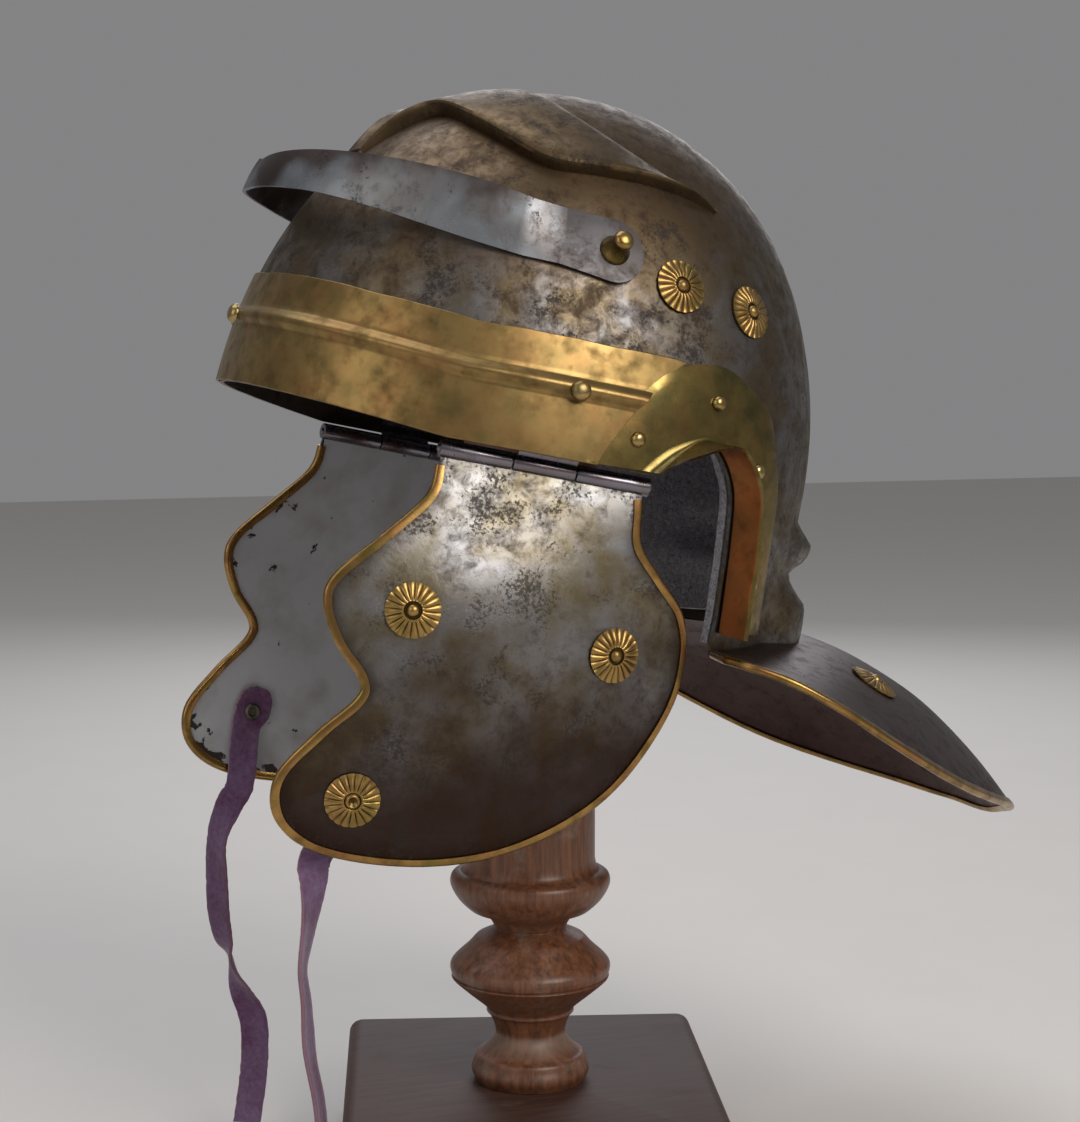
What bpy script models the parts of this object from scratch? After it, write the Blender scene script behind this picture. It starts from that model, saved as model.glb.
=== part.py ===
"""Roman legionary helmet on a turned wooden stand.

The helmet is modelled in its own frame: origin at the centre of the rim, +X to the nape, -X to the brow,
+Z to the crown, and the wearer's left on -Y. That frame stands on the post, tipped back by HELMET_PITCH.
The stand's frame has its origin at the centre of the board's underside, +Z up. All sizes are in metres.
"""

import math
from collections import namedtuple

import bmesh
import bpy
from mathutils import Matrix, Vector

CLEARANCE = 0.0003
BOWL_COLUMNS = 36
LINING_COLUMNS = 24
SIDES = {"left": -1, "right": 1}

# Skull bowl
BOWL_HALF_LENGTH = 0.1215
BOWL_REAR_LENGTH = 0.113
BOWL_HALF_WIDTH = 0.0975
BOWL_HEIGHT = 0.143
BOWL_WALL = 0.0016
PLAN_POWER = 2.1
BROW_POWER = 2.2
NAPE_POWER = 2.05
RIM_FRONT = 0.0005
RIM_HINGE = -0.0017
RIM_EAR = 0.0042
NAPE_RIB_HEIGHT = 0.0075
EYEBROW_HEIGHT = 0.0062

# Neck guard
GUARD_REACH = 0.249
GUARD_HALF_WIDTH = 0.124
GUARD_THICKNESS = 0.0016
NAPE_DEPTH = 0.0367
GUARD_FALL = 0.053
GUARD_ARCH = 0.094
GUARD_TWIST = 0.009

# Lining
LINING_THICKNESS = 0.003
LINING_FRONT_EDGE = 0.021
LINING_INSET = BOWL_WALL + 4 * CLEARANCE
LINING_CLIMBS = (72, 54, 38)
LINING_SWELL = 0.5

# Brow band
BAND_HEIGHT = 0.0425
BAND_THICKNESS = 0.001
BAND_BEAD = 0.0024
BAND_BEAD_LEVEL = 0.0255
BAND_BEAD_WIDTH = 0.0075
BAND_END_GAP = 0.0010

# Peak
PEAK_REACH = 0.1325
PEAK_HALF_WIDTH = 0.088
PEAK_THICKNESS = 0.0014
PEAK_LEVEL = 0.0775
PEAK_SIDE_HEIGHT = 0.0205
PEAK_FRONT_HEIGHT = 0.0125
PEAK_LEAN = 0.0035
PEAK_BOW = 0.003  # how far the strip rises and widens between its front and its crease
PEAK_TAB_RADIUS = 0.0113
KNOB_RADIUS = 0.0045
KNOB_HEIGHT = 0.0095

# Ear guards
EAR_PLATE_THICKNESS = 0.001
EAR_FLANGE = 0.012
EAR_FLANGE_LEAN = 0.55

# Cheek pieces and their hinges
HINGE_CENTRE_X = -0.1745 * BOWL_HALF_LENGTH
HINGE_LENGTH = 0.0765
HINGE_INSET = 0.0052
HINGE_FRONT_LEVEL = -0.0056
HINGE_REAR_LEVEL = 0.0000
KNUCKLE_RADIUS = 0.0033
PIN_RADIUS = 0.0013
LEAF_THICKNESS = 0.0012
LEAF_HEIGHT = 0.017
CHEEK_LENGTH = 0.149
CHEEK_WIDTH = 0.136
CHEEK_THICKNESS = 0.0015
CHEEK_BULGE = 0.0105
CHEEK_LEAN = 0.026  # how far it leans in for its depth, so that it hangs near rest
EDGING_WALL = 0.0005
EDGING_DEPTH = 0.002

# Rosettes, rivets and thongs
ROSETTE_RADIUS = 0.0098
ROSETTE_HEIGHT = 0.0022
RIVET_RADIUS = 0.0032
EAR_RIVET_RADIUS = 0.0029
THONG_WIDTH = 0.0115
THONG_THICKNESS = 0.0014
THONG_CUTS = 3

# Stand
HELMET_PITCH = math.radians(15.62)
HELMET_SHIFT = -0.0043
RIM_ABOVE_BOARD = 0.2491
BOARD_THICKNESS = 0.040
BOARD_WIDTH = 0.150
BOARD_DEPTH = 0.165
BOARD_TURN = math.radians(-16.65)
BOARD_REAR_SHARE = 0.515
BOARD_BEVEL = 0.005
POST_RADIUS = 0.0323
POST_TURNED_HEIGHT = 0.088
POST_NECK_RADIUS = 0.026
POST_PAD_RADIUS = 0.036
POST_PAD_HEIGHT = 0.032

# Levels on the nape below the rim, as shares of the nape's depth, and how far the wall stands out there, as shares
# of the rib height
NapeRow = namedtuple("NapeRow", "depth swell")
NAPE_ROWS = (
    NapeRow(-0.14, 0.00),
    NapeRow(-0.03, 0.50),
    NapeRow(0.07, 1.00),
    NapeRow(0.24, 0.88),
    NapeRow(0.42, 0.25),
    NapeRow(0.58, 0.75),
    NapeRow(0.70, 1.40),
    NapeRow(0.88, 1.60),
    NapeRow(1.00, 1.65),
    NapeRow(1.75, 1.65),
)

# The eyebrow's two edges in plan, as shares of the bowl's half length and half width
BrowRow = namedtuple("BrowRow", "low_x low_y high_x high_y")
BROW_ROWS = (
    BrowRow(-0.780, 0.090, -0.765, 0.030),
    BrowRow(-0.690, 0.130, -0.640, 0.035),
    BrowRow(-0.610, 0.210, -0.520, 0.065),
    BrowRow(-0.545, 0.402, -0.430, 0.130),
    BrowRow(-0.446, 0.569, -0.355, 0.225),
    BrowRow(-0.333, 0.670, -0.270, 0.435),
    BrowRow(-0.181, 0.699, -0.165, 0.560),
    BrowRow(0.015, 0.690, -0.010, 0.642),
    BrowRow(0.130, 0.672, 0.110, 0.660),
    BrowRow(0.225, 0.652, 0.225, 0.640),
)

# Half of the neck guard's edge in plan, from the front corner to the middle of the back
GuardRow = namedtuple("GuardRow", "reach width")
GUARD_ROWS = (
    GuardRow(0.232, 0.840),
    GuardRow(0.259, 0.925),
    GuardRow(0.321, 0.975),
    GuardRow(0.395, 0.997),
    GuardRow(0.475, 0.985),
    GuardRow(0.583, 0.915),
    GuardRow(0.703, 0.785),
    GuardRow(0.808, 0.625),
    GuardRow(0.893, 0.450),
    GuardRow(0.956, 0.270),
    GuardRow(0.990, 0.110),
    GuardRow(1.000, 0.000),
)

# The ear guard's plate, from its front foot over the ear to its rear foot: x as shares of the bowl's half length,
# z as shares of the bowl's height
EarRow = namedtuple("EarRow", "inner_x inner_z outer_x outer_z")
EAR_ROWS = (
    EarRow(0.119, 0.038, -0.107, 0.016),
    EarRow(0.156, 0.073, -0.050, 0.119),
    EarRow(0.193, 0.101, 0.045, 0.245),
    EarRow(0.230, 0.126, 0.115, 0.301),
    EarRow(0.272, 0.142, 0.200, 0.332),
    EarRow(0.313, 0.140, 0.280, 0.343),
    EarRow(0.350, 0.119, 0.352, 0.332),
    EarRow(0.391, 0.080, 0.430, 0.301),
    EarRow(0.424, 0.028, 0.505, 0.262),
    EarRow(0.449, -0.063, 0.590, 0.124),
    EarRow(0.469, -0.154, 0.632, 0.000),
    EarRow(0.486, -0.241, 0.665, -0.150),
    EarRow(0.498, -0.312, 0.705, -0.290),
)

# The cheek piece's edge from the front end of the hinge round to its rear end: x from the middle of the hinge as
# shares of the cheek's width, depth below the hinge as shares of the cheek's length
CheekRow = namedtuple("CheekRow", "x depth")
CHEEK_ROWS = (
    CheekRow(-0.274, 0.030),
    CheekRow(-0.282, 0.115),
    CheekRow(-0.368, 0.223),
    CheekRow(-0.462, 0.333),
    CheekRow(-0.471, 0.403),
    CheekRow(-0.418, 0.490),
    CheekRow(-0.340, 0.564),
    CheekRow(-0.336, 0.616),
    CheekRow(-0.412, 0.715),
    CheekRow(-0.476, 0.832),
    CheekRow(-0.434, 0.934),
    CheekRow(-0.290, 0.990),
    CheekRow(-0.035, 0.984),
    CheekRow(0.200, 0.910),
    CheekRow(0.398, 0.757),
    CheekRow(0.510, 0.550),
    CheekRow(0.522, 0.405),
    CheekRow(0.478, 0.296),
    CheekRow(0.370, 0.212),
    CheekRow(0.290, 0.141),
    CheekRow(0.266, 0.050),
)

# How far the cheek piece stands out below its hinge, and how much it curls in towards its two edges, as shares of
# the bulge; depth as shares of the cheek's length
BulgeRow = namedtuple("BulgeRow", "depth out curl")
BULGE_ROWS = (
    BulgeRow(0.00, 0.00, 0.00),
    BulgeRow(0.13, 0.38, 0.40),
    BulgeRow(0.30, 0.83, 0.95),
    BulgeRow(0.46, 1.00, 1.12),
    BulgeRow(0.67, 0.86, 0.95),
    BulgeRow(0.85, 0.42, 0.62),
    BulgeRow(0.97, 0.00, 0.48),
    BulgeRow(1.10, -0.60, 0.45),
)
CHEEK_CROWN_X = 0.075

# Places of rosettes and rivets
Spot = namedtuple("Spot", "name x z")
SKULL_ROSETTES = (Spot("front", 0.097, 0.510), Spot("rear", 0.366, 0.509))
CHEEK_ROSETTES = (Spot("upper", -0.262, 0.385), Spot("rear", 0.298, 0.412), Spot("lower", -0.278, 0.850))
EAR_RIVETS = (Spot("1", 0.043, 0.105), Spot("2", 0.284, 0.250), Spot("3", 0.490, 0.116), Spot("4", 0.585, -0.168))
GUARD_ROSETTE = Spot("guard", 0.557, 0.560)
BAND_RIVET_X = -0.165
PEAK_KNOB_X = -0.132
PEAK_CREASE_X = -0.290
THONG_RIVET = Spot("thong", -0.272, 0.820)

# Turned profile of the post up to its neck: heights as shares of the turned height, radii as shares of the bulb's
TurnRow = namedtuple("TurnRow", "height radius")
TURN_ROWS = (
    TurnRow(0.000, 0.680),
    TurnRow(0.045, 0.735),
    TurnRow(0.090, 0.700),
    TurnRow(0.140, 0.585),
    TurnRow(0.215, 0.435),
    TurnRow(0.310, 0.515),
    TurnRow(0.340, 0.560),
    TurnRow(0.490, 0.985),
    TurnRow(0.535, 1.000),
    TurnRow(0.620, 0.790),
    TurnRow(0.672, 0.590),
    TurnRow(0.705, 0.450),
    TurnRow(0.760, 0.530),
    TurnRow(0.790, 0.710),
    TurnRow(0.840, 0.870),
    TurnRow(0.910, 0.990),
    TurnRow(0.955, 0.975),
    TurnRow(0.978, 0.880),
)

# Each thong's free run, as offsets in metres from its rivet along the stand's axes, y counted inwards, and the turn
# of its flat side in degrees
ThongRow = namedtuple("ThongRow", "x inward z turn")
THONG_RUNS = {
    "right": (
        ThongRow(-0.0075, 0.0100, -0.028, 10),
        ThongRow(-0.0120, 0.0108, -0.036, 25),
        ThongRow(-0.0172, 0.0110, -0.050, 65),
        ThongRow(-0.0178, 0.0108, -0.064, 25),
        ThongRow(-0.0172, 0.0104, -0.080, 15),
        ThongRow(-0.0150, 0.0100, -0.094, 50),
        ThongRow(-0.0125, 0.0098, -0.103, 100),
        ThongRow(-0.0085, 0.0096, -0.116, 60),
        ThongRow(-0.0034, 0.0096, -0.128, 20),
        ThongRow(-0.0028, 0.0098, -0.141, 5),
        ThongRow(-0.0040, 0.0100, -0.156, 10),
        ThongRow(-0.0066, 0.0100, -0.1735, 15),
    ),
    "left": (
        ThongRow(-0.0125, 0.0100, -0.026, -10),
        ThongRow(-0.0136, 0.0106, -0.036, 0),
        ThongRow(-0.0150, 0.0108, -0.048, 15),
        ThongRow(-0.0172, 0.0106, -0.060, 45),
        ThongRow(-0.0180, 0.0102, -0.070, 90),
        ThongRow(-0.0172, 0.0100, -0.081, 50),
        ThongRow(-0.0165, 0.0100, -0.093, 30),
        ThongRow(-0.0146, 0.0102, -0.105, 60),
        ThongRow(-0.0122, 0.0104, -0.120, 30),
        ThongRow(-0.0115, 0.0104, -0.137, 10),
        ThongRow(-0.0125, 0.0102, -0.155, 0),
        ThongRow(-0.0140, 0.0100, -0.1735, -5),
    ),
}

HELMET_FRAME = Matrix.Translation((HELMET_SHIFT, 0, BOARD_THICKNESS + RIM_ABOVE_BOARD)) @ Matrix.Rotation(
    HELMET_PITCH, 4, "Y"
)


# General helpers


def clear_scene():
    """Remove the objects that are in the scene."""
    for obj in list(bpy.data.objects):
        bpy.data.objects.remove(obj)


def share(value, low, high):
    """Where value lies between low and high, held to 0..1."""
    return min(max((value - low) / (high - low), 0.0), 1.0)


def smooth(value, low, high):
    """A soft step from 0 at low to 1 at high."""
    t = share(value, low, high)
    return t * t * (3 - 2 * t)


def spline(points, cuts):
    """Points of a Catmull-Rom curve through the given tuples, cuts spans between each pair."""
    rows = [Vector(p) for p in points]
    rows = [2 * rows[0] - rows[1]] + rows + [2 * rows[-1] - rows[-2]]
    found = []
    for a, b, c, d in zip(rows, rows[1:], rows[2:], rows[3:]):
        for k in range(cuts):
            t = k / cuts
            found.append(
                0.5 * ((2 * b) + (c - a) * t + (2 * a - 5 * b + 4 * c - d) * t**2 + (3 * b - a - 3 * c + d) * t**3)
            )
    return found + [rows[-2]]


def from_rows(rows, key, value, at):
    """Linear reading of one column of a table at a place in another."""
    for a, b in zip(rows, rows[1:]):
        low, high = getattr(a, key), getattr(b, key)
        if at <= high or b is rows[-1]:
            t = share(at, low, high)
            return getattr(a, value) * (1 - t) + getattr(b, value) * t
    return getattr(rows[-1], value)


def material(name, colour, roughness, metallic=0.0):
    """A plain Principled material."""
    made = bpy.data.materials.new(name)
    made.use_nodes = True
    shader = made.node_tree.nodes["Principled BSDF"]
    shader.inputs["Base Color"].default_value = (*colour, 1)
    shader.inputs["Roughness"].default_value = roughness
    shader.inputs["Metallic"].default_value = metallic
    made.diffuse_color = (*colour, 1)
    return made


FINISHES = {
    "steel": ((0.33, 0.30, 0.26), 0.35, 1.0),
    "brass": ((0.60, 0.42, 0.14), 0.32, 1.0),
    "felt": ((0.07, 0.07, 0.09), 0.95, 0.0),
    "suede": ((0.12, 0.06, 0.13), 0.90, 0.0),
    "wood": ((0.14, 0.055, 0.03), 0.45, 0.0),
    "board": ((0.05, 0.022, 0.016), 0.55, 0.0),
}


def add_object(name, mesh_bm, finish, parent, frame=None, angle=35):
    """Make an object from a bmesh, with its own material, under its parent and placed by frame."""
    bmesh.ops.recalc_face_normals(mesh_bm, faces=mesh_bm.faces)
    mesh = bpy.data.meshes.new(name)
    mesh_bm.to_mesh(mesh)
    mesh_bm.free()
    mesh.shade_smooth()
    mesh.set_sharp_from_angle(angle=math.radians(angle))
    obj = bpy.data.objects.new(name, mesh)
    bpy.context.scene.collection.objects.link(obj)
    if finish:
        mesh.materials.append(material(name, *FINISHES[finish]))
    obj.parent = parent
    if parent is not None:
        obj.matrix_parent_inverse = parent.matrix_world.inverted() @ HELMET_FRAME
    if frame is not None:
        obj.matrix_basis = frame
    return obj


def add_cutter(name, mesh_bm, parent):
    """A hidden helper for a Boolean."""
    obj = add_object(name, mesh_bm, None, parent)
    obj.hide_render = True
    obj.display_type = "WIRE"
    return obj


def boolean(obj, other, operation):
    """Cut obj with other, or join other to it."""
    modifier = obj.modifiers.new(f"{operation.lower()} {other.name}", "BOOLEAN")
    modifier.operation = operation
    modifier.object = other
    modifier.solver = "EXACT"


def add_empty(name, matrix, parent=None):
    """A frame that pieces are placed in."""
    obj = bpy.data.objects.new(name, None)
    bpy.context.scene.collection.objects.link(obj)
    obj.empty_display_size = 0.03
    obj.matrix_world = matrix
    bpy.context.view_layer.update()
    if parent is not None:
        obj.parent = parent
        obj.matrix_parent_inverse = parent.matrix_world.inverted()
        bpy.context.view_layer.update()
    return obj


def skin(bm, grid, wrap):
    """Faces between the rows of a grid of vertices."""
    for low, high in zip(grid, grid[1:]):
        count = len(low)
        for k in range(count if wrap else count - 1):
            n = (k + 1) % count
            corners = []
            for vert in (low[k], low[n], high[n], high[k]):
                if vert not in corners:
                    corners.append(vert)
            if len(corners) > 2:
                bm.faces.new(corners)


def add_row(bm, points):
    """Vertices for one row; a row with a single point is a pole."""
    verts = [bm.verts.new(p) for p in points]
    return verts


def shell(outer, inner, wrap=False):
    """A closed wall between two grids of points. A row of one repeated point closes to a pole."""
    bm = bmesh.new()
    grids = []
    for points in (outer, inner):
        rows = []
        for row in points:
            if wrap and len({tuple(round(c, 7) for c in p) for p in row}) == 1:
                rows.append([bm.verts.new(row[0])] * len(row))
            else:
                rows.append(add_row(bm, row))
        grids.append(rows)
        skin(bm, rows, wrap)
    first, second = grids
    edges = [(first[0], second[0]), (first[-1], second[-1])]
    if not wrap:
        edges.append(([row[0] for row in first], [row[0] for row in second]))
        edges.append(([row[-1] for row in first], [row[-1] for row in second]))
    for a, b in edges:
        if a[0] is not a[1]:
            skin(bm, [a, b], wrap)
    return bm


def prism(outline, half_width):
    """A side view outline of (x, z) points drawn out across the whole helmet."""
    bm = bmesh.new()
    face = bm.faces.new([bm.verts.new((x, -half_width, z)) for x, z in outline])
    made = bmesh.ops.extrude_face_region(bm, geom=[face])
    moved = [item for item in made["geom"] if isinstance(item, bmesh.types.BMVert)]
    bmesh.ops.translate(bm, verts=moved, vec=(0, 2 * half_width, 0))
    return bm


def turned(profile, sides):
    """A solid turned from (radius, height) points about Z, from one end on the axis to the other."""
    bm = bmesh.new()
    rows = []
    for radius, height in profile:
        if radius == 0:
            rows.append([bm.verts.new((0, 0, height))] * sides)
        else:
            angles = (2 * math.pi * k / sides for k in range(sides))
            rows.append(add_row(bm, [(radius * math.cos(a), radius * math.sin(a), height) for a in angles]))
    skin(bm, rows, True)
    return bm


def rod(start, end, radius, sides=12):
    """A plain cylinder between two points."""
    bm = bmesh.new()
    along = end - start
    turn = along.to_track_quat("Z", "Y").to_matrix().to_4x4()
    matrix = Matrix.Translation((start + end) / 2) @ turn
    bmesh.ops.create_cone(
        bm, cap_ends=True, segments=sides, radius1=radius, radius2=radius, depth=along.length, matrix=matrix
    )
    return bm


def seat(point, normal, along=Vector((0, 0, 1))):
    """A frame with its origin at point, Z along normal and X near along."""
    z = normal.normalized()
    x = (along - along.dot(z) * z).normalized()
    y = z.cross(x)
    turn = Matrix((x, y, z)).transposed().to_4x4()
    return Matrix.Translation(point) @ turn


# The bowl's surface


def bowl_scale(level, power):
    """Size of the bowl's plan at a level, against its size at the rim."""
    if level <= 0:
        return 1.0
    return max(1 - (level / BOWL_HEIGHT) ** power, 0.0) ** (1 / power)


def power_of(x):
    """The side view's power, from the brow's to the nape's."""
    t = smooth(x, -0.6 * BOWL_HALF_LENGTH, 0.6 * BOWL_HALF_LENGTH)
    return BROW_POWER * (1 - t) + NAPE_POWER * t


def nape_swell(x, level):
    """How far the ribs of the nape stand out from the plain wall."""
    back = smooth(x, 0.79 * BOWL_REAR_LENGTH, 0.93 * BOWL_REAR_LENGTH)
    if back == 0 or level > -NAPE_ROWS[0].depth * NAPE_DEPTH:
        return 0.0
    return back * NAPE_RIB_HEIGHT * from_rows(NAPE_ROWS, "depth", "swell", -level / NAPE_DEPTH)


def half_length(x):
    """The bowl's half length on the side of x: to the brow or to the nape."""
    return BOWL_HALF_LENGTH if x < 0 else BOWL_REAR_LENGTH


def bowl_y(x, level):
    """Half width of the bowl at a place of its side view."""
    size = bowl_scale(level, power_of(x))
    rest = max(1 - (abs(x) / (half_length(x) * size)) ** PLAN_POWER, 0.0)
    return BOWL_HALF_WIDTH * size * rest ** (1 / PLAN_POWER)


def bowl_z(x, y):
    """Height of the bowl over a place of its plan."""
    size = ((abs(x) / half_length(x)) ** PLAN_POWER + (abs(y) / BOWL_HALF_WIDTH) ** PLAN_POWER) ** (1 / PLAN_POWER)
    power = power_of(x)
    return BOWL_HEIGHT * max(1 - size**power, 0.0) ** (1 / power)


def bowl_side(x, level, side, offset=0.0):
    """A point of the bowl's side wall, moved out along the wall's normal, and that normal."""
    step = 0.0005
    here = Vector((x, bowl_y(x, level), level))
    fore = Vector((x + step, bowl_y(x + step, level), level)) - here
    up = Vector((x, bowl_y(x, level + step), level + step)) - here
    normal = fore.cross(up).normalized()
    normal = normal if normal.y > 0 else -normal
    flip = Matrix.Diagonal((1, side, 1))
    return flip @ (here + offset * normal), flip @ normal


def bowl_top(x, y, offset=0.0):
    """A point of the bowl over a place of its plan, moved out along the wall's normal."""
    step = 0.0005
    here = Vector((x, y, bowl_z(x, y)))
    fore = Vector((x + step, y, bowl_z(x + step, y))) - here
    across = Vector((x, y + step, bowl_z(x, y + step))) - here
    return here + offset * fore.cross(across).normalized()


def bowl_ring_point(angle, climb, level, offset, swell_share=1.0):
    """A point of the bowl. Angle 0 is the brow. Climb is 0 at the rim and 90 degrees at the crown; level replaces
    it below the rim, where the ribs of the nape stand out by their share."""
    c, s = math.cos(angle), math.sin(angle)
    plan_x = -math.copysign(abs(c) ** (2 / PLAN_POWER), c)
    plan_y = math.copysign(abs(s) ** (2 / PLAN_POWER), s)
    if level is not None:
        size, height = 1.0, level
    else:
        power = power_of(plan_x * BOWL_HALF_LENGTH)
        size = math.cos(climb) ** (2 / power)
        height = BOWL_HEIGHT * math.sin(climb) ** (2 / power)
    reach = half_length(plan_x)
    x, y = reach * size * plan_x, BOWL_HALF_WIDTH * size * plan_y
    out = Vector((plan_x / reach, plan_y / BOWL_HALF_WIDTH, 0)).normalized()
    if level is not None:
        tilt = 0.0
        swell = nape_swell(x, level) * swell_share
    else:
        tilt = climb
        swell = 0.0
    rise = math.sin(tilt) ** 1.1 if tilt > 0 else 0.0
    normal = (out * math.cos(math.asin(min(rise, 1.0))) + Vector((0, 0, rise))).normalized()
    return Vector((x, y, height)) + out * swell + normal * offset


def bowl_rows(columns, climbs, levels, offset, swell_share=1.0):
    """Rows of points from the crown down to the lowest level."""
    angles = [2 * math.pi * k / columns for k in range(columns)]
    rows = [[Vector((0, 0, BOWL_HEIGHT + offset))] * columns]
    for climb in climbs:
        rows.append([bowl_ring_point(a, math.radians(climb), None, offset) for a in angles])
    for level in levels:
        rows.append([bowl_ring_point(a, 0.0, level, offset, swell_share) for a in angles])
    return rows


def rim_level(x):
    """Height of the rim's lower edge, from the brow past the hinge to the ear."""
    hinge = HINGE_CENTRE_X - HINGE_LENGTH / 2
    ear = EAR_ROWS[0].inner_x * BOWL_HALF_LENGTH
    if x < hinge:
        return RIM_FRONT + (RIM_HINGE - RIM_FRONT) * share(x, -BOWL_HALF_LENGTH, hinge)
    return RIM_HINGE + (RIM_EAR - RIM_HINGE) * share(x, hinge, ear)


# The neck guard's surface


def guard_level(x, y):
    """Height of the neck guard's upper face over a place of its plan."""
    crest = 0.5 * GUARD_REACH
    fall = GUARD_FALL * ((x - crest) / (GUARD_REACH - crest)) ** 2
    start = 0.228 * GUARD_REACH
    arch = GUARD_ARCH * max(x - start, 0) / (GUARD_REACH - start)
    twist = GUARD_TWIST * share(x, 0.36 * GUARD_REACH, GUARD_REACH)
    return -NAPE_DEPTH - fall - arch * (y / GUARD_HALF_WIDTH) ** 2 - twist * y / GUARD_HALF_WIDTH


def guard_normal(x, y):
    """The neck guard's upward normal over a place of its plan."""
    step = 0.001
    fore = Vector((step, 0, guard_level(x + step, y) - guard_level(x, y)))
    across = Vector((0, step, guard_level(x, y + step) - guard_level(x, y)))
    return fore.cross(across).normalized()


def guard_outline():
    """The neck guard's edge in plan from the left corner round the back to the right one."""
    half = [(row.reach * GUARD_REACH, row.width * GUARD_HALF_WIDTH) for row in GUARD_ROWS]
    whole = [(x, -y) for x, y in half] + [(x, y) for x, y in half[-2::-1]]
    return spline([(x, y, 0) for x, y in whole], 1)


# Pieces of the root body


def ear_points():
    """The ear guard's inner and outer edge as (x, z) pairs, in order from the front foot."""
    inner = [(r.inner_x * BOWL_HALF_LENGTH, 0, r.inner_z * BOWL_HEIGHT) for r in EAR_ROWS]
    outer = [(r.outer_x * BOWL_HALF_LENGTH, 0, r.outer_z * BOWL_HEIGHT) for r in EAR_ROWS]
    return spline(inner, 2), spline(outer, 2)


def opening_outline(front_level=None):
    """Side view of what is cut away: all below the rim in front, and the ear's arch."""
    inner, _ = ear_points()
    far = 0.3
    start = [(-far, -far)]
    if front_level is None:
        stops = [-BOWL_HALF_LENGTH * 1.1, HINGE_CENTRE_X - HINGE_LENGTH / 2, inner[0].x - 0.001]
        start += [(-far, rim_level(-far))] + [(x, rim_level(x)) for x in stops]
    else:
        start += [(-far, front_level), (inner[0].x - 0.004, front_level)]
    arch = [(p.x, p.z) for p in inner if front_level is None or p.z < front_level - 0.002]
    foot = inner[-1].x
    return start + arch + [(foot, -far)]


def below_guard(gap):
    """A block whose top follows the neck guard's upper face, lowered by gap."""
    xs = [0.02 + (1.25 * BOWL_HALF_LENGTH - 0.02) * k / 10 for k in range(11)]
    ys = [1.25 * BOWL_HALF_WIDTH * (k / 5 - 1) for k in range(11)]
    top = [[Vector((x, y, guard_level(x, y) - gap)) for y in ys] for x in xs]
    bottom = [[Vector((x, y, -0.3)) for y in ys] for x in xs]
    return shell(top, bottom)


def eyebrow(side):
    """A raised eyebrow with a sharp step along its lower edge."""
    rows = []
    for row in BROW_ROWS:
        low = Vector((row.low_x * BOWL_HALF_LENGTH, row.low_y * BOWL_HALF_WIDTH))
        high = Vector((row.high_x * BOWL_HALF_LENGTH, row.high_y * BOWL_HALF_WIDTH))
        rows.append([low.lerp(high, t) for t in (0.0, 0.12, 0.5, 0.88, 1.0)])
    heights = (0.55, 0.95, 1.0, 0.5, 0.12)
    ends = [0.35] + [1.0] * (len(rows) - 3) + [0.75, 0.25]
    top, root = [], []
    for row, end in zip(rows, ends):
        top.append([bowl_top(p.x, p.y * side, EYEBROW_HEIGHT * h * end) for p, h in zip(row, heights)])
        root.append([bowl_top(p.x, p.y * side, -0.72 * BOWL_WALL) for p in row])
    return shell(top, root)


def nape_foot(angle):
    """A point inside the nape's wall at its foot, on the straight line between two of the bowl's columns."""
    step = 2 * math.pi / BOWL_COLUMNS
    low = math.floor(angle / step)
    a, b = (bowl_ring_point(k * step, 0.0, -NAPE_DEPTH, -0.6 * BOWL_WALL) for k in (low, low + 1))
    return a.lerp(b, angle / step - low)


def guard_grid():
    """Points of the neck guard's upper face, in rows from the foot of the nape out to its edge."""
    outline = guard_outline()
    count = len(outline)
    foot = EAR_ROWS[-1].inner_x * BOWL_HALF_LENGTH / BOWL_REAR_LENGTH
    edge_angle = math.acos(foot ** (PLAN_POWER / 2))
    grid = []
    for k, out in enumerate(outline):
        turn = edge_angle * (2 * k / (count - 1) - 1)
        inner = nape_foot(math.pi - turn)
        near = Vector((inner.x, inner.y))
        far = Vector((out.x, out.y))
        grid.append([near.lerp(far, t) for t in (0, 0.35, 0.8, 1)])
    return [[Vector((p.x, p.y, guard_level(p.x, p.y))) for p in row] for row in grid]


def neck_guard():
    """The arched plate of the neck guard."""
    top = guard_grid()
    return shell(top, [[p - guard_normal(p.x, p.y) * GUARD_THICKNESS for p in row] for row in top])


def build_bowl(helmet):
    """Bowl, nape, neck guard and eyebrows: one forged piece."""
    climbs = (79, 68, 58, 48, 38, 27, 15, 6)
    levels = [-row.depth * NAPE_DEPTH for row in NAPE_ROWS[1:]]
    outer = bowl_rows(BOWL_COLUMNS, climbs, levels, 0.0)
    inner = bowl_rows(BOWL_COLUMNS, climbs, levels, -BOWL_WALL)
    bowl = add_object("skull_bowl", shell(outer, inner, wrap=True), "steel", helmet)
    far = 0.2
    boolean(bowl, add_cutter("ear_cutter", prism(opening_outline(), far), helmet), "DIFFERENCE")
    boolean(bowl, add_cutter("nape_cutter", below_guard(0.5 * GUARD_THICKNESS), helmet), "DIFFERENCE")
    boolean(bowl, add_cutter("guard_body", neck_guard(), helmet), "UNION")
    for name, side in SIDES.items():
        boolean(bowl, add_cutter(f"eyebrow_{name}", eyebrow(side), helmet), "UNION")


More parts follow.
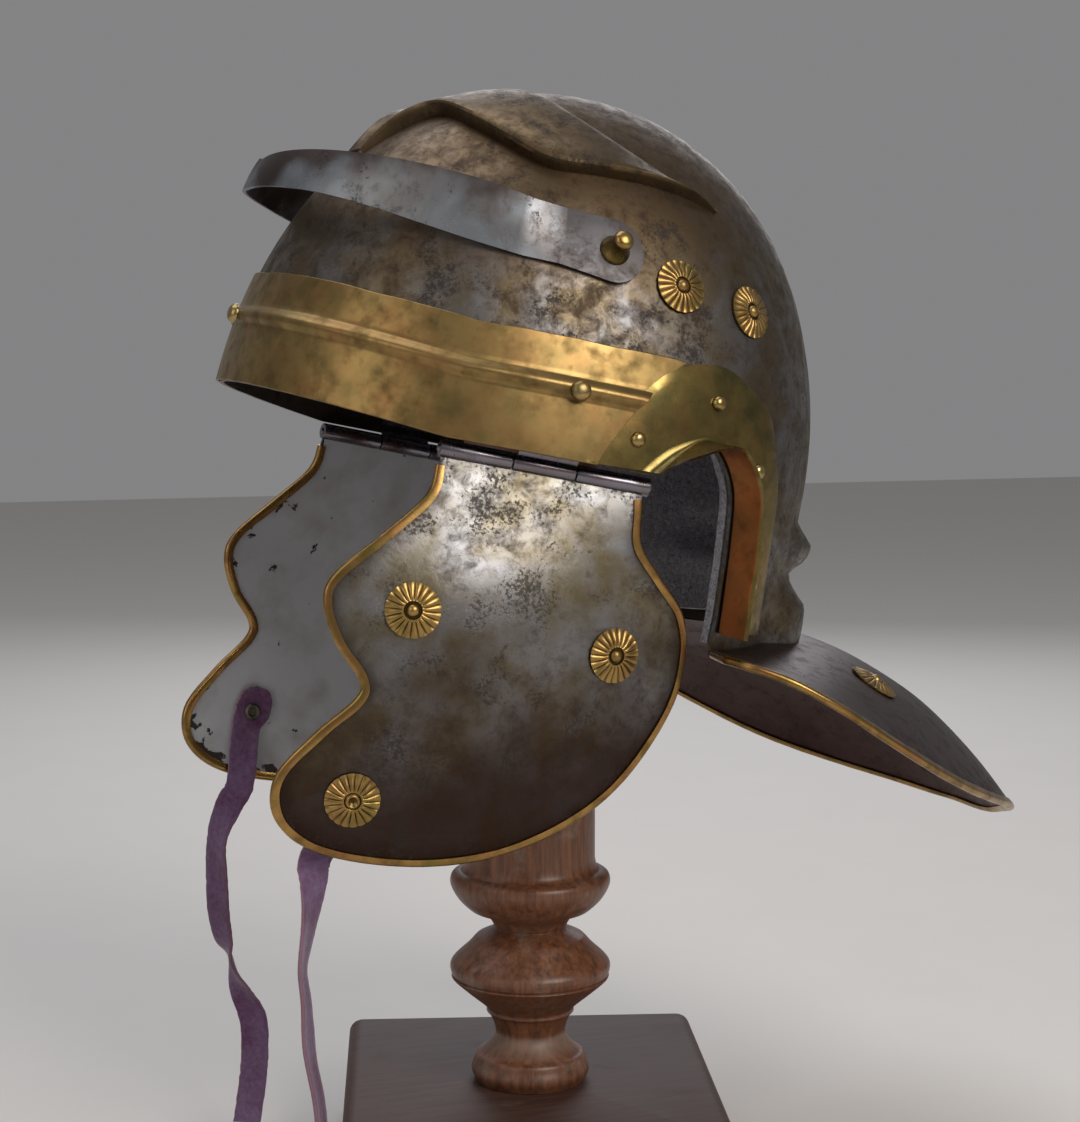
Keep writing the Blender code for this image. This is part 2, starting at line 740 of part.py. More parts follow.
def build_lining(helmet):
    """The felt lining, cut away over the ears like the bowl."""
    climbs = LINING_CLIMBS + (24, 12)
    levels = [0.004, -0.52 * NAPE_DEPTH, -NAPE_DEPTH, -1.6 * NAPE_DEPTH]
    outer = bowl_rows(LINING_COLUMNS, climbs, levels, -LINING_INSET, LINING_SWELL)
    inner = bowl_rows(LINING_COLUMNS, climbs, levels, -LINING_INSET - LINING_THICKNESS, LINING_SWELL)
    lining = add_object("felt_lining", shell(outer, inner, wrap=True), "felt", helmet)
    far = 0.2
    boolean(lining, add_cutter("lining_cutter", prism(opening_outline(LINING_FRONT_EDGE), far), helmet), "DIFFERENCE")
    boolean(lining, add_cutter("lining_foot", below_guard(-0.002), helmet), "DIFFERENCE")


def build_band(helmet):
    """The brass band round the brow, with its rolled bead."""
    _, outer_edge = ear_points()
    rise = [(p.z, p.x) for p in outer_edge[: len(outer_edge) // 3 + 1]]
    half = BAND_BEAD_WIDTH / 2
    levels = [0.0] + [BAND_BEAD_LEVEL + t * half for t in (-1, -0.55, 0, 0.55, 1)]
    levels += [(BAND_BEAD_LEVEL + half + BAND_HEIGHT) / 2, BAND_HEIGHT]
    bead = {2: 0.8, 3: 1.0, 4: 0.8}
    columns = 23
    rows = {"outer": [], "inner": []}
    for k, level in enumerate(levels):
        before = max((r for r in rise if r[0] <= max(level, rise[0][0])), default=rise[0])
        after = min((r for r in rise if r[0] > before[0]), default=before)
        t = share(level, before[0], after[0]) if after[0] > before[0] else 0.0
        end_x = before[1] + (after[1] - before[1]) * t - BAND_END_GAP
        size = bowl_scale(level, BROW_POWER)
        ratio = abs(end_x) / (half_length(end_x) * size)
        cosine = ratio ** (PLAN_POWER / 2)
        end_angle = math.acos(cosine if end_x < 0 else -cosine)
        swell = BAND_BEAD * bead.get(k, 0.0)
        outer, inner = [], []
        for j in range(columns):
            angle = end_angle * (2 * j / (columns - 1) - 1)
            c, s = math.cos(angle), math.sin(angle)
            x = -math.copysign(abs(c) ** (2 / PLAN_POWER), c) * half_length(-c)
            y = math.copysign(abs(s) ** (2 / PLAN_POWER), s) * BOWL_HALF_WIDTH
            power = power_of(x)
            scale = bowl_scale(level, power)
            out = Vector((x / half_length(x) ** 2, y / BOWL_HALF_WIDTH**2, 0)).normalized()
            height = level if k else rim_level(x * scale)
            base = Vector((x * scale, y * scale, height))
            gap = 2 * CLEARANCE
            inner.append(base + out * (gap + 0.85 * swell))
            outer.append(base + out * (gap + BAND_THICKNESS + swell))
        rows["outer"].append(outer)
        rows["inner"].append(inner)
    add_object("brow_band", shell(rows["outer"], rows["inner"]), "brass", helmet)


def peak_height(x, reach):
    """Height of the peak's strip, from its side down to its front."""
    t = smooth(-x, 0.45 * reach, reach)
    return PEAK_SIDE_HEIGHT * (1 - t) + PEAK_FRONT_HEIGHT * t


def peak_column(angle, last):
    """The strip's lower and upper edge at an angle from the front, of which the crease has the last."""
    c, s = math.cos(angle), math.sin(angle)
    x, y = -PEAK_REACH * c, PEAK_HALF_WIDTH * s
    bow = PEAK_BOW * math.sin(math.pi * abs(angle) / last)
    height = peak_height(x, PEAK_REACH) + bow
    lean = PEAK_LEAN * smooth(-x, 0.4 * PEAK_REACH, PEAK_REACH)
    out = Vector((x / PEAK_REACH**2, y / PEAK_HALF_WIDTH**2, 0)).normalized()
    low = Vector((x, y, PEAK_LEVEL + bow - height / 2))
    high = Vector((x, y, PEAK_LEVEL + bow + height / 2)) - out * lean
    return low, high, out


def tab_column(x, side, offset):
    """The tab's lower and upper edge where it lies on the bowl."""
    knob = PEAK_KNOB_X * BOWL_HALF_LENGTH
    if x <= knob:
        t = share(x, PEAK_CREASE_X * BOWL_HALF_LENGTH, knob)
        half = PEAK_SIDE_HEIGHT / 2 * (1 - t) + PEAK_TAB_RADIUS * t
    else:
        half = math.sqrt(max(PEAK_TAB_RADIUS**2 - (x - knob) ** 2, 1e-7))
    return [bowl_side(x, PEAK_LEVEL + half * (2 * t - 1), side, offset)[0] for t in (0, 0.5, 1)]


def build_peak(helmet):
    """The strip that stands off the brow, folded to a round tab at each side."""
    knob = PEAK_KNOB_X * BOWL_HALF_LENGTH
    crease = PEAK_CREASE_X * BOWL_HALF_LENGTH
    tab_x = [knob + PEAK_TAB_RADIUS * math.sin(math.radians(a)) for a in (88, 65, 40, 15)]
    tab_x += [knob + (crease - knob) * t for t in (0.35, 0.7, 1.0)]
    gap = 2 * CLEARANCE
    last = math.acos(-crease / PEAK_REACH) - 0.10
    strip = [last * (1 - k / 9) for k in range(10)]
    outer, inner = [], []
    for x in tab_x:
        outer.append(tab_column(x, -1, gap + PEAK_THICKNESS))
        inner.append(tab_column(x, -1, gap))
    for angle in [-a for a in strip] + strip[-2::-1]:
        low, high, out = peak_column(angle, last)
        points = [low, low.lerp(high, 0.5) + out * 0.0004, high]
        outer.append(points)
        inner.append([p - out * PEAK_THICKNESS for p in points])
    flip = Matrix.Diagonal((1, -1, 1))
    for rows in (outer, inner):
        rows += [[flip @ p for p in row] for row in rows[len(tab_x) - 1 :: -1]]
    add_object("peak", shell(outer, inner), "steel", helmet)


def ear_plate_grids(side):
    """Outer and inner points of an ear guard: its plate on the bowl, then the flange that stands out round the ear."""
    inner_edge, outer_edge = ear_points()
    gap = 2 * CLEARANCE
    lean = Vector((EAR_FLANGE_LEAN, side * math.sqrt(1 - EAR_FLANGE_LEAN**2), 0))
    faces = ([], [])
    for a, b in zip(inner_edge, outer_edge):
        across = (b - a).normalized()
        trim = a + across * CLEARANCE
        for skin_rows, offset, inset in ((faces[0], gap + EAR_PLATE_THICKNESS, 0.0), (faces[1], gap, 1.0)):
            row = []
            for t in (1.0, 0.5):
                p = trim.lerp(b, t)
                row.append(bowl_side(p.x, p.z, side, offset)[0])
            near = trim + across * EAR_PLATE_THICKNESS * (1.6 - inset)
            start, _ = bowl_side(near.x, near.z, side, offset)
            row.append(start)
            lip = trim + across * EAR_PLATE_THICKNESS * (1 - inset)
            base, _ = bowl_side(lip.x, lip.z, side, gap + EAR_PLATE_THICKNESS)
            row.append(base + lean * EAR_FLANGE)
            skin_rows.append(row)
    return faces


def build_ear_guards(helmet):
    """A brass plate round each ear."""
    for name, side in SIDES.items():
        outer, inner = ear_plate_grids(side)
        add_object(f"ear_guard_{name}", shell(outer, inner), "brass", helmet)


def domed(radius, height, sides=8):
    """A rivet's head."""
    profile = [(0, 0), (radius, 0), (radius * 0.78, height * 0.65), (0, height)]
    return turned(profile, sides)


def rosette(eyelet=False):
    """A disc with a raised rim of petals, held by a domed rivet, or by an eyelet."""
    profile = [(0.0, 0.0), (1.0, 0.0), (0.80, 0.85), (0.32, 0.70)]
    profile += [(0.26, 1.15), (0.0, 0.90)] if eyelet else [(0.24, 1.45), (0.0, 1.80)]
    return turned([(r * ROSETTE_RADIUS, h * ROSETTE_HEIGHT) for r, h in profile], 12)


def build_trim(helmet):
    """Rosettes, rivets and knobs of the bowl, band, peak, ear guards and neck guard."""
    lift = CLEARANCE
    for name, side in SIDES.items():
        for spot in SKULL_ROSETTES:
            place = bowl_side(spot.x * BOWL_HALF_LENGTH, spot.z * BOWL_HEIGHT, side, lift)
            add_object(f"skull_rosette_{name}_{spot.name}", rosette(), "brass", helmet, seat(*place))
        over = 2 * CLEARANCE + EAR_PLATE_THICKNESS + lift
        for spot in EAR_RIVETS:
            place = bowl_side(spot.x * BOWL_HALF_LENGTH, spot.z * BOWL_HEIGHT, side, over)
            head = domed(EAR_RIVET_RADIUS, 0.8 * EAR_RIVET_RADIUS)
            add_object(f"ear_rivet_{name}_{spot.name}", head, "brass", helmet, seat(*place))
        over = 2 * CLEARANCE + BAND_THICKNESS + BAND_BEAD + lift
        place = bowl_side(BAND_RIVET_X * BOWL_HALF_LENGTH, BAND_BEAD_LEVEL, side, over)
        head = domed(RIVET_RADIUS, 0.8 * RIVET_RADIUS)
        add_object(f"band_rivet_{name}", head, "brass", helmet, seat(*place))
        over = 2 * CLEARANCE + PEAK_THICKNESS + lift
        place = bowl_side(PEAK_KNOB_X * BOWL_HALF_LENGTH, PEAK_LEVEL, side, over)
        profile = [(0, 0), (1.25, 0), (1.2, 0.3), (0.75, 0.45), (0.84, 0.70), (0.6, 0.94), (0, 1)]
        knob = turned([(r * KNOB_RADIUS, h * KNOB_HEIGHT) for r, h in profile], 10)
        add_object(f"peak_knob_{name}", knob, "brass", helmet, seat(*place))
        x, y = GUARD_ROSETTE.x * GUARD_REACH, side * GUARD_ROSETTE.z * GUARD_HALF_WIDTH
        normal = guard_normal(x, y)
        frame = seat(Vector((x, y, guard_level(x, y))) + normal * lift, normal, Vector((1, 0, 0)))
        add_object(f"guard_rosette_{name}", rosette(), "brass", helmet, frame)
    front = Vector((-BOWL_HALF_LENGTH * bowl_scale(BAND_BEAD_LEVEL, BROW_POWER), 0, BAND_BEAD_LEVEL))
    front.x -= 2 * CLEARANCE + BAND_THICKNESS + BAND_BEAD + lift
    head = domed(RIVET_RADIUS, 0.8 * RIVET_RADIUS)
    add_object("band_rivet_front", head, "brass", helmet, seat(front, Vector((-1, 0, 0))))


def channel(points, outs, normals, thickness):
    """A folded strip round a plate's edge. Each point lies halfway through the plate at its edge."""
    half = thickness / 2 + CLEARANCE
    skin_out = half + EDGING_WALL
    nose = CLEARANCE + 2 * EDGING_WALL
    section = [(-EDGING_DEPTH, half), (CLEARANCE, half), (CLEARANCE, -half), (-EDGING_DEPTH, -half)]
    section += [(-EDGING_DEPTH, -skin_out), (nose, -skin_out), (nose, skin_out), (-EDGING_DEPTH, skin_out)]
    bm = bmesh.new()
    rows = []
    for point, out, normal in zip(points, outs, normals):
        rows.append(add_row(bm, [point + out * b + normal * n for b, n in section]))
    skin(bm, rows, True)
    bm.faces.new(rows[0])
    bm.faces.new(rows[-1])
    return bm


def edge_frames(points, normals):
    """The outward direction in the plate at each point of its edge."""
    outs = []
    for k, normal in enumerate(normals):
        along = points[min(k + 1, len(points) - 1)] - points[max(k - 1, 0)]
        outs.append(along.cross(normal).normalized())
    return outs


def build_guard_edging(helmet):
    """The brass edging of the neck guard."""
    grid = guard_grid()
    points = [row[-1] for row in grid]
    normals = []
    for k, row in enumerate(grid):
        along = points[min(k + 1, len(grid) - 1)] - points[max(k - 1, 0)]
        normals.append((row[-1] - row[-2]).cross(along).normalized())
    outs = edge_frames(points, normals)
    middles = [p - guard_normal(p.x, p.y) * GUARD_THICKNESS / 2 for p in points]
    add_object("guard_edging", channel(middles, outs, normals, GUARD_THICKNESS), "brass", helmet)


# Hinges and cheek pieces


def hinge_ends(side):
    """The hinge's axis, from its front end to its rear end."""
    found = []
    for step, level in ((-0.5, HINGE_FRONT_LEVEL), (0.5, HINGE_REAR_LEVEL)):
        x = HINGE_CENTRE_X + step * HINGE_LENGTH
        found.append(Vector((x, side * (bowl_y(x, 0) - HINGE_INSET), level)))
    return found


def knuckle(side, start, end, grow=0.0, radius=KNUCKLE_RADIUS):
    """A barrel on the hinge's axis between two shares of its length."""
    a, b = hinge_ends(side)
    step = (b - a).normalized() * grow
    return rod(a.lerp(b, start) - step, a.lerp(b, end) + step, radius, 12)


def cheek_surface(x, depth, side):
    """The outer face of a cheek piece: x from the hinge's middle, depth below the hinge's axis."""
    a, b = hinge_ends(1)
    t = x / HINGE_LENGTH + 0.5
    level = a.z + (b.z - a.z) * t - depth
    flat = smooth(depth, 0, 0.35 * CHEEK_LENGTH)
    middle = (a.y + b.y) / 2
    skew = (b.y - a.y) * (t - 0.5) * (1 - flat)
    d = depth / CHEEK_LENGTH
    across = (x - CHEEK_CROWN_X * CHEEK_WIDTH) / (CHEEK_WIDTH / 2)
    out = from_rows(BULGE_ROWS, "depth", "out", d) - from_rows(BULGE_ROWS, "depth", "curl", d) * across**2
    y = middle + skew + CHEEK_THICKNESS / 2 + CHEEK_BULGE * out - CHEEK_LEAN * depth
    return Vector((x + HINGE_CENTRE_X, side * y, level))


def cheek_normal(x, depth, side):
    """The outward normal of a cheek piece."""
    step = 0.002
    fore = cheek_surface(x + step, depth, side) - cheek_surface(x - step, depth, side)
    down = cheek_surface(x, depth + step, side) - cheek_surface(x, max(depth - step, 0), side)
    normal = fore.cross(down).normalized()
    return normal if normal.y * side > 0 else -normal


def cheek_outline():
    """The cheek piece's free edge as (x, depth) from the hinge's middle."""
    rows = [(row.x * CHEEK_WIDTH, row.depth * CHEEK_LENGTH, 0) for row in CHEEK_ROWS]
    return spline(rows, 2)


def cheek_plate(side):
    """The cheek piece's plate, in rings from its edge to its middle."""
    edge = cheek_outline()
    top = [Vector((edge[-1].x + (edge[0].x - edge[-1].x) * t, 0.0, 0.0)) for t in (0.0, 0.25, 0.5, 0.75, 1.0)]
    ring = edge + top
    middle = Vector((0.02 * CHEEK_WIDTH, 0.52 * CHEEK_LENGTH, 0))
    outer, inner = [], []
    for t in (0.0, 0.45, 0.78, 1.0):
        row = [middle.lerp(p, t) for p in ring]
        faces = [cheek_surface(p.x, p.y, side) for p in row]
        outer.append(faces)
        inner.append([f - CHEEK_THICKNESS * cheek_normal(p.x, p.y, side) for f, p in zip(faces, row)])
    return shell(outer, inner, wrap=True)


def build_cheek(name, side, helmet, cheek):
    """One cheek piece with its hinge, edging, rosettes and thong rivet."""
    plate = add_object(f"cheek_plate_{name}", cheek_plate(side), "steel", cheek)
    parts = ((0.0, 0.338), (0.645, 1.0))
    play = 2 * CLEARANCE
    gap = 2 * CLEARANCE / HINGE_LENGTH
    for k, (start, end) in enumerate(parts):
        barrel = add_cutter(f"knuckle_{name}_{k}", knuckle(side, start, end), cheek)
        boolean(plate, barrel, "UNION")
    middle = (parts[0][1], parts[1][0])
    slot = add_cutter(f"slot_{name}", knuckle(side, *middle, radius=KNUCKLE_RADIUS + 3 * play), cheek)
    bore = add_cutter(f"bore_{name}", knuckle(side, -0.1, 1.1, radius=PIN_RADIUS + CLEARANCE), cheek)
    boolean(plate, slot, "DIFFERENCE")
    boolean(plate, bore, "DIFFERENCE")

    edge = cheek_outline()[1:-1]
    normals = [cheek_normal(p.x, p.y, side) for p in edge]
    points = [cheek_surface(p.x, p.y, side) - n * CHEEK_THICKNESS / 2 for p, n in zip(edge, normals)]
    outs = [out * -side for out in edge_frames(points, normals)]
    add_object(f"cheek_edging_{name}", channel(points, outs, normals, CHEEK_THICKNESS), "brass", cheek)

    for spot in CHEEK_ROSETTES:
        x, depth = spot.x * CHEEK_WIDTH, spot.z * CHEEK_LENGTH
        normal = cheek_normal(x, depth, side)
        frame = seat(cheek_surface(x, depth, side) + normal * CLEARANCE, normal)
        add_object(f"cheek_rosette_{name}_{spot.name}", rosette(spot.name == "lower"), "brass", cheek, frame)

    pin = knuckle(side, 0.0, 1.0, grow=0.0008, radius=PIN_RADIUS)
    add_object(f"hinge_pin_{name}", pin, "steel", helmet)
    leaf = add_object(f"hinge_leaf_{name}", hinge_leaf(side, middle), "steel", helmet)
    barrel = knuckle(side, middle[0] + gap, middle[1] - gap)
    boolean(leaf, add_cutter(f"leaf_knuckle_{name}", barrel, helmet), "UNION")
    boolean(leaf, bore, "DIFFERENCE")


def hinge_leaf(side, span):
    """The fixed leaf: from its knuckle up the inner face of the bowl."""
    a, b = hinge_ends(1)
    outer, inner = [], []
    flip = Matrix.Diagonal((1, side, 1))
    margin = 0.012
    for k in range(5):
        t = span[0] + margin + (span[1] - span[0] - 2 * margin) * k / 4
        axis = a.lerp(b, t)
        wall = -BOWL_WALL - 3 * CLEARANCE
        foot = axis.z + 2.4 * KNUCKLE_RADIUS
        levels = [foot + (LEAF_HEIGHT - foot) * s for s in (0.0, 0.5, 1.0)]
        wall_points = [bowl_side(axis.x, level, 1, wall)[0] for level in levels]
        start = axis + Vector((0, 0.35 * KNUCKLE_RADIUS, 0.45 * KNUCKLE_RADIUS))
        bend = axis + Vector((0, 0.9 * KNUCKLE_RADIUS, 1.35 * KNUCKLE_RADIUS))
        row = [start, bend] + wall_points
        back = [p - Vector((0, LEAF_THICKNESS, 0)) for p in row]
        back[1] += Vector((0, 0, 0.4 * LEAF_THICKNESS))
        outer.append([flip @ p for p in row])
        inner.append([flip @ p for p in back])
    return shell(outer, inner)


def thong_points(name, side):
    """Middle line, width direction, face direction and width of a thong at each of its sections."""
    x, depth = THONG_RIVET.x * CHEEK_WIDTH, THONG_RIVET.z * CHEEK_LENGTH
    off = CHEEK_THICKNESS + 2 * CLEARANCE + THONG_THICKNESS / 2
    rows = []
    for shift, drop, width in ((0.0015, -0.009, 0.9), (0.001, -0.006, 1.3), (0.0, 0.0, 1.4), (-0.0012, 0.008, 1.05)):
        face = cheek_normal(x + shift, depth + drop, side)
        point = cheek_surface(x + shift, depth + drop, side) - face * off
        across = (Vector((1, 0, 0.1)) - face * Vector((1, 0, 0.1)).dot(face)).normalized()
        rows.append((HELMET_FRAME @ point, HELMET_FRAME.to_3x3() @ across, width))
    rivet = rows[2][0]
    for run in spline([Vector(run) for run in THONG_RUNS[name]], THONG_CUTS):
        turn = math.radians(run[3]) * -side
        point = rivet + Vector((run[0], -side * run[1], run[2]))
        rows.append((point, Vector((math.cos(turn), math.sin(turn), 0)), 1.0))
    return rows


def build_thong(name, side, cheek):
    """A flat thong riveted inside the cheek piece, hanging free below it, and its eyelet."""
    to_helmet = HELMET_FRAME.inverted()
    turn_back = to_helmet.to_3x3()
    rows = thong_points(name, side)
    centres = [row[0] for row in rows]
    bm = bmesh.new()
    rings = []
    for k, (point, across, width) in enumerate(rows):
        along = (centres[min(k + 1, len(rows) - 1)] - centres[max(k - 1, 0)]).normalized()
        across = (across - along * across.dot(along)).normalized()
        face = along.cross(across).normalized()
        half = THONG_WIDTH * width / 2
        corners = [(-1, -1), (1, -1), (1, 1), (-1, 1)]
        ring = [point + across * half * u + face * THONG_THICKNESS / 2 * v for u, v in corners]
        rings.append(add_row(bm, [to_helmet @ p for p in ring]))
    for low, high in zip(rings, rings[1:]):
        # Both faces fold along the same diagonal, so that they stay parallel where the thong twists
        bm.faces.new((low[0], low[1], high[1]))
        bm.faces.new((low[0], high[1], high[0]))
        bm.faces.new((low[1], low[2], high[2], high[1]))
        bm.faces.new((low[2], low[3], high[2]))
        bm.faces.new((low[3], high[3], high[2]))
        bm.faces.new((low[3], low[0], high[0], high[3]))
    bm.faces.new(rings[0])
    bm.faces.new(rings[-1])
    add_object(f"chin_thong_{name}", bm, "suede", cheek)

    rivet, across, _ = rows[2]
    point = to_helmet @ rivet
    x, depth = THONG_RIVET.x * CHEEK_WIDTH, THONG_RIVET.z * CHEEK_LENGTH
    inward = -cheek_normal(x, depth, side)
    frame = seat(point + inward * (THONG_THICKNESS / 2 + CLEARANCE), inward, turn_back @ across)
    profile = [(0, 0), (1.0, 0), (0.9, 0.5), (0.6, 0.55), (0.45, 0.3), (0, 0.25)]
    eyelet = turned([(r * RIVET_RADIUS, h * RIVET_RADIUS * 0.6) for r, h in profile], 10)
    add_object(f"thong_eyelet_{name}", eyelet, "steel", cheek, frame)


# Stand


def build_stand():
    """The board, and the turned post that carries the helmet under its crown."""
    turn = Matrix.Rotation(BOARD_TURN, 4, "Z")
    front = BOARD_REAR_SHARE * BOARD_DEPTH - BOARD_DEPTH / 2
    bm = bmesh.new()
    frame = Matrix.Translation((0, front, BOARD_THICKNESS / 2)) @ Matrix.Diagonal(
        (BOARD_WIDTH, BOARD_DEPTH, BOARD_THICKNESS, 1)
    )
    bmesh.ops.create_cube(bm, size=1, matrix=frame)
    upright = [e for e in bm.edges if abs(e.verts[0].co.z - e.verts[1].co.z) > BOARD_THICKNESS / 2]
    bmesh.ops.bevel(bm, geom=upright, offset=1.2 * BOARD_BEVEL, segments=3, affect="EDGES", profile=0.5)
    top = [e for e in bm.edges if min(v.co.z for v in e.verts) > BOARD_THICKNESS * 0.99]
    bmesh.ops.bevel(bm, geom=top, offset=BOARD_BEVEL, segments=2, affect="EDGES", profile=0.5)
    add_object("stand_board", bm, "board", None, turn)

    floor = BOARD_THICKNESS + CLEARANCE
    base = [(0.0, floor)]
    base += [(row.radius * POST_RADIUS, floor + row.height * POST_TURNED_HEIGHT) for row in TURN_ROWS]
    neck = floor + POST_TURNED_HEIGHT
    crown = HELMET_FRAME @ Vector((0, 0, BOWL_HEIGHT))
    top = crown.z + 0.006
    pad = top - POST_PAD_HEIGHT - 0.03
    base += [(POST_NECK_RADIUS * 1.03, neck), (POST_NECK_RADIUS, neck + 0.004), (POST_NECK_RADIUS, pad - 0.012)]
    base += [(POST_PAD_RADIUS * 0.95, pad), (POST_PAD_RADIUS, pad + 0.004), (POST_PAD_RADIUS, top), (0.0, top)]
    post = add_object("stand_post", turned(base, 16), "wood", None)
    return post


def crown_cutter(helmet):
    """A thick cap that trims the post's pad to the lining's inner face."""
    depth = LINING_INSET + LINING_THICKNESS + CLEARANCE
    inner = bowl_rows(LINING_COLUMNS, LINING_CLIMBS, [], -depth)
    outer = bowl_rows(LINING_COLUMNS, LINING_CLIMBS, [], 0.03)
    return add_cutter("crown_cutter", shell(outer, inner, wrap=True), helmet)


def main():
    """Build the whole object."""
    clear_scene()
    post = build_stand()
    helmet = add_empty("helmet_frame", HELMET_FRAME)
    boolean(post, crown_cutter(helmet), "DIFFERENCE")
    build_bowl(helmet)
    build_lining(helmet)
    build_band(helmet)
    build_peak(helmet)
    build_ear_guards(helmet)
    build_trim(helmet)
    build_guard_edging(helmet)
    for name, side in SIDES.items():
        front, rear = hinge_ends(side)
        axis = seat((front + rear) / 2, rear - front)
        cheek = add_empty(f"cheek_frame_{name}", HELMET_FRAME @ axis, helmet)
        build_cheek(name, side, helmet, cheek)
        build_thong(name, side, cheek)


main()
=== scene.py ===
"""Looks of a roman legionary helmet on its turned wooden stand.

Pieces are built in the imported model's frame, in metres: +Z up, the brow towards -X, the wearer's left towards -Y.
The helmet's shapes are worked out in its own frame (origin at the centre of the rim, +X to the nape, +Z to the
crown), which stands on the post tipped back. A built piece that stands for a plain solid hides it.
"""

from __future__ import annotations

import logging
import math
from collections.abc import Callable, Sequence
from dataclasses import dataclass, field, replace
from enum import Enum

import bmesh
import bpy
import numpy as np
from mathutils import Matrix, Vector, noise


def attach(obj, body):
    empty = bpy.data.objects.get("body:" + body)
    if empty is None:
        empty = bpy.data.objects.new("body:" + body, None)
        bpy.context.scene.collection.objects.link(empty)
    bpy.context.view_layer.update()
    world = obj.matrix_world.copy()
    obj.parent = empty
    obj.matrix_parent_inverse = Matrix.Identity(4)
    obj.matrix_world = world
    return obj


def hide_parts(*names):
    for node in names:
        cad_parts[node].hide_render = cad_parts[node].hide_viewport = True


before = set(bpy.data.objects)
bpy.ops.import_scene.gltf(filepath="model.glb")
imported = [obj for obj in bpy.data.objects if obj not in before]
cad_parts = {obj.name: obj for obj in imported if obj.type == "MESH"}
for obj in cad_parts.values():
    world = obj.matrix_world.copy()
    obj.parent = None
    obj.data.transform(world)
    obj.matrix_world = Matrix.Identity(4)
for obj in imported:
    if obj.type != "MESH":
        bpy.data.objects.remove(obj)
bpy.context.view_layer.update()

LOG = logging.getLogger("helmet")
Grid = list[list[Vector]]
Curve = tuple[float, ...]
Stops = Sequence[tuple[float, str | float]]
Mesh = bmesh.types.BMesh
Socket = bpy.types.NodeSocket
Tree = bpy.types.NodeTree
MM = 0.001
STEP = 0.0005  # for slopes taken by difference
POLE = 1e-7  # points of a row closer than this are one
SEAT = 0.0002  # under a rosette, an eyelet or the post
GAP = 0.0006  # between the bowl and the brass and iron laid on it
ROUND_OFF = 0.0004  # at a rod's ends
ROD_SIDES = 40


class Body(Enum):
    """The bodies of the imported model."""

    HELMET = "helmet"
    LEFT_CHEEK = "left_cheek"
    RIGHT_CHEEK = "right_cheek"


class Side(Enum):
    """The wearer's two sides, with the sign of Y."""

    LEFT = -1
    RIGHT = 1

    @property
    def word(self) -> str:
        """The side's part of a piece's name."""
        return self.name.lower()

    @property
    def cheek(self) -> Body:
        """The body of the cheek piece on this side."""
        return Body[f"{self.name}_CHEEK"]

    @property
    def flip(self) -> Matrix:
        """Turns a shape made on +Y to this side."""
        return Matrix.Diagonal((1, self.value, 1))


# Small tools for curves and meshes


def share(value: float, low: float, high: float) -> float:
    """Where value lies between low and high, held to 0..1."""
    return min(max((value - low) / (high - low), 0.0), 1.0)


def smooth(value: float, low: float, high: float) -> float:
    """A soft step from 0 at low to 1 at high."""
    t = share(value, low, high)
    return t * t * (3 - 2 * t)


def spline(points: Sequence[Sequence[float]], cuts: int) -> list[Vector]:
    """A Catmull-Rom curve.

    Args:
        points: the points that it passes through.
        cuts: spans between each pair.

    Returns:
        The curve's points.
    """
    rows = [Vector(p) for p in points]
    rows = [2 * rows[0] - rows[1], *rows, 2 * rows[-1] - rows[-2]]
    found = []
    for a, b, c, d in zip(rows, rows[1:], rows[2:], rows[3:]):
        for t in (k / cuts for k in range(cuts)):
            bend = (2 * a - 5 * b + 4 * c - d) * t**2 + (3 * b - a - 3 * c + d) * t**3
            found.append(0.5 * (2 * b + (c - a) * t + bend))
    return found + [rows[-2]]


def read_curve(keys: Curve, values: Curve, at: float) -> float:
    """A smooth reading of a table with rising keys.

    Args:
        keys: the places.
        values: the values there.
        at: the place to read.

    Returns:
        The value, on a cubic through the table's points.
    """
    if at <= keys[0]:
        return values[0]
    if at >= keys[-1]:
        return values[-1]
    k = max(i for i, key in enumerate(keys) if key <= at)
    span = keys[k + 1] - keys[k]
    t = (at - keys[k]) / span

    def slope(i: int) -> float:
        """The table's slope at one of its places, over this span."""
        low, high = max(i - 1, 0), min(i + 1, len(keys) - 1)
        return (values[high] - values[low]) / (keys[high] - keys[low]) * span

    rest = slope(k) * (t**3 - 2 * t**2 + t) + slope(k + 1) * (t**3 - t**2)
    return values[k] * (2 * t**3 - 3 * t**2 + 1) + values[k + 1] * (3 * t**2 - 2 * t**3) + rest


def uneven(point: Vector, size: float, depth: float, seed: float = 0.0) -> float:
    """Soft unevenness, as a hammer leaves it: depth metres high, with waves size metres long."""
    return depth * noise.noise(point / size + Vector((seed, seed * 0.7, -seed)))


def skin(mesh_bm: Mesh, rows: list[list[bmesh.types.BMVert]], wrap: bool, slot: int = 0) -> None:
    """Faces between rows of vertices, with a material slot."""
    for low, high in zip(rows, rows[1:]):
        count = len(low)
        for k in range(count if wrap else count - 1):
            n = (k + 1) % count
            corners = list(dict.fromkeys((low[k], low[n], high[n], high[k])))
            if len(corners) > 2:
                mesh_bm.faces.new(corners).material_index = slot


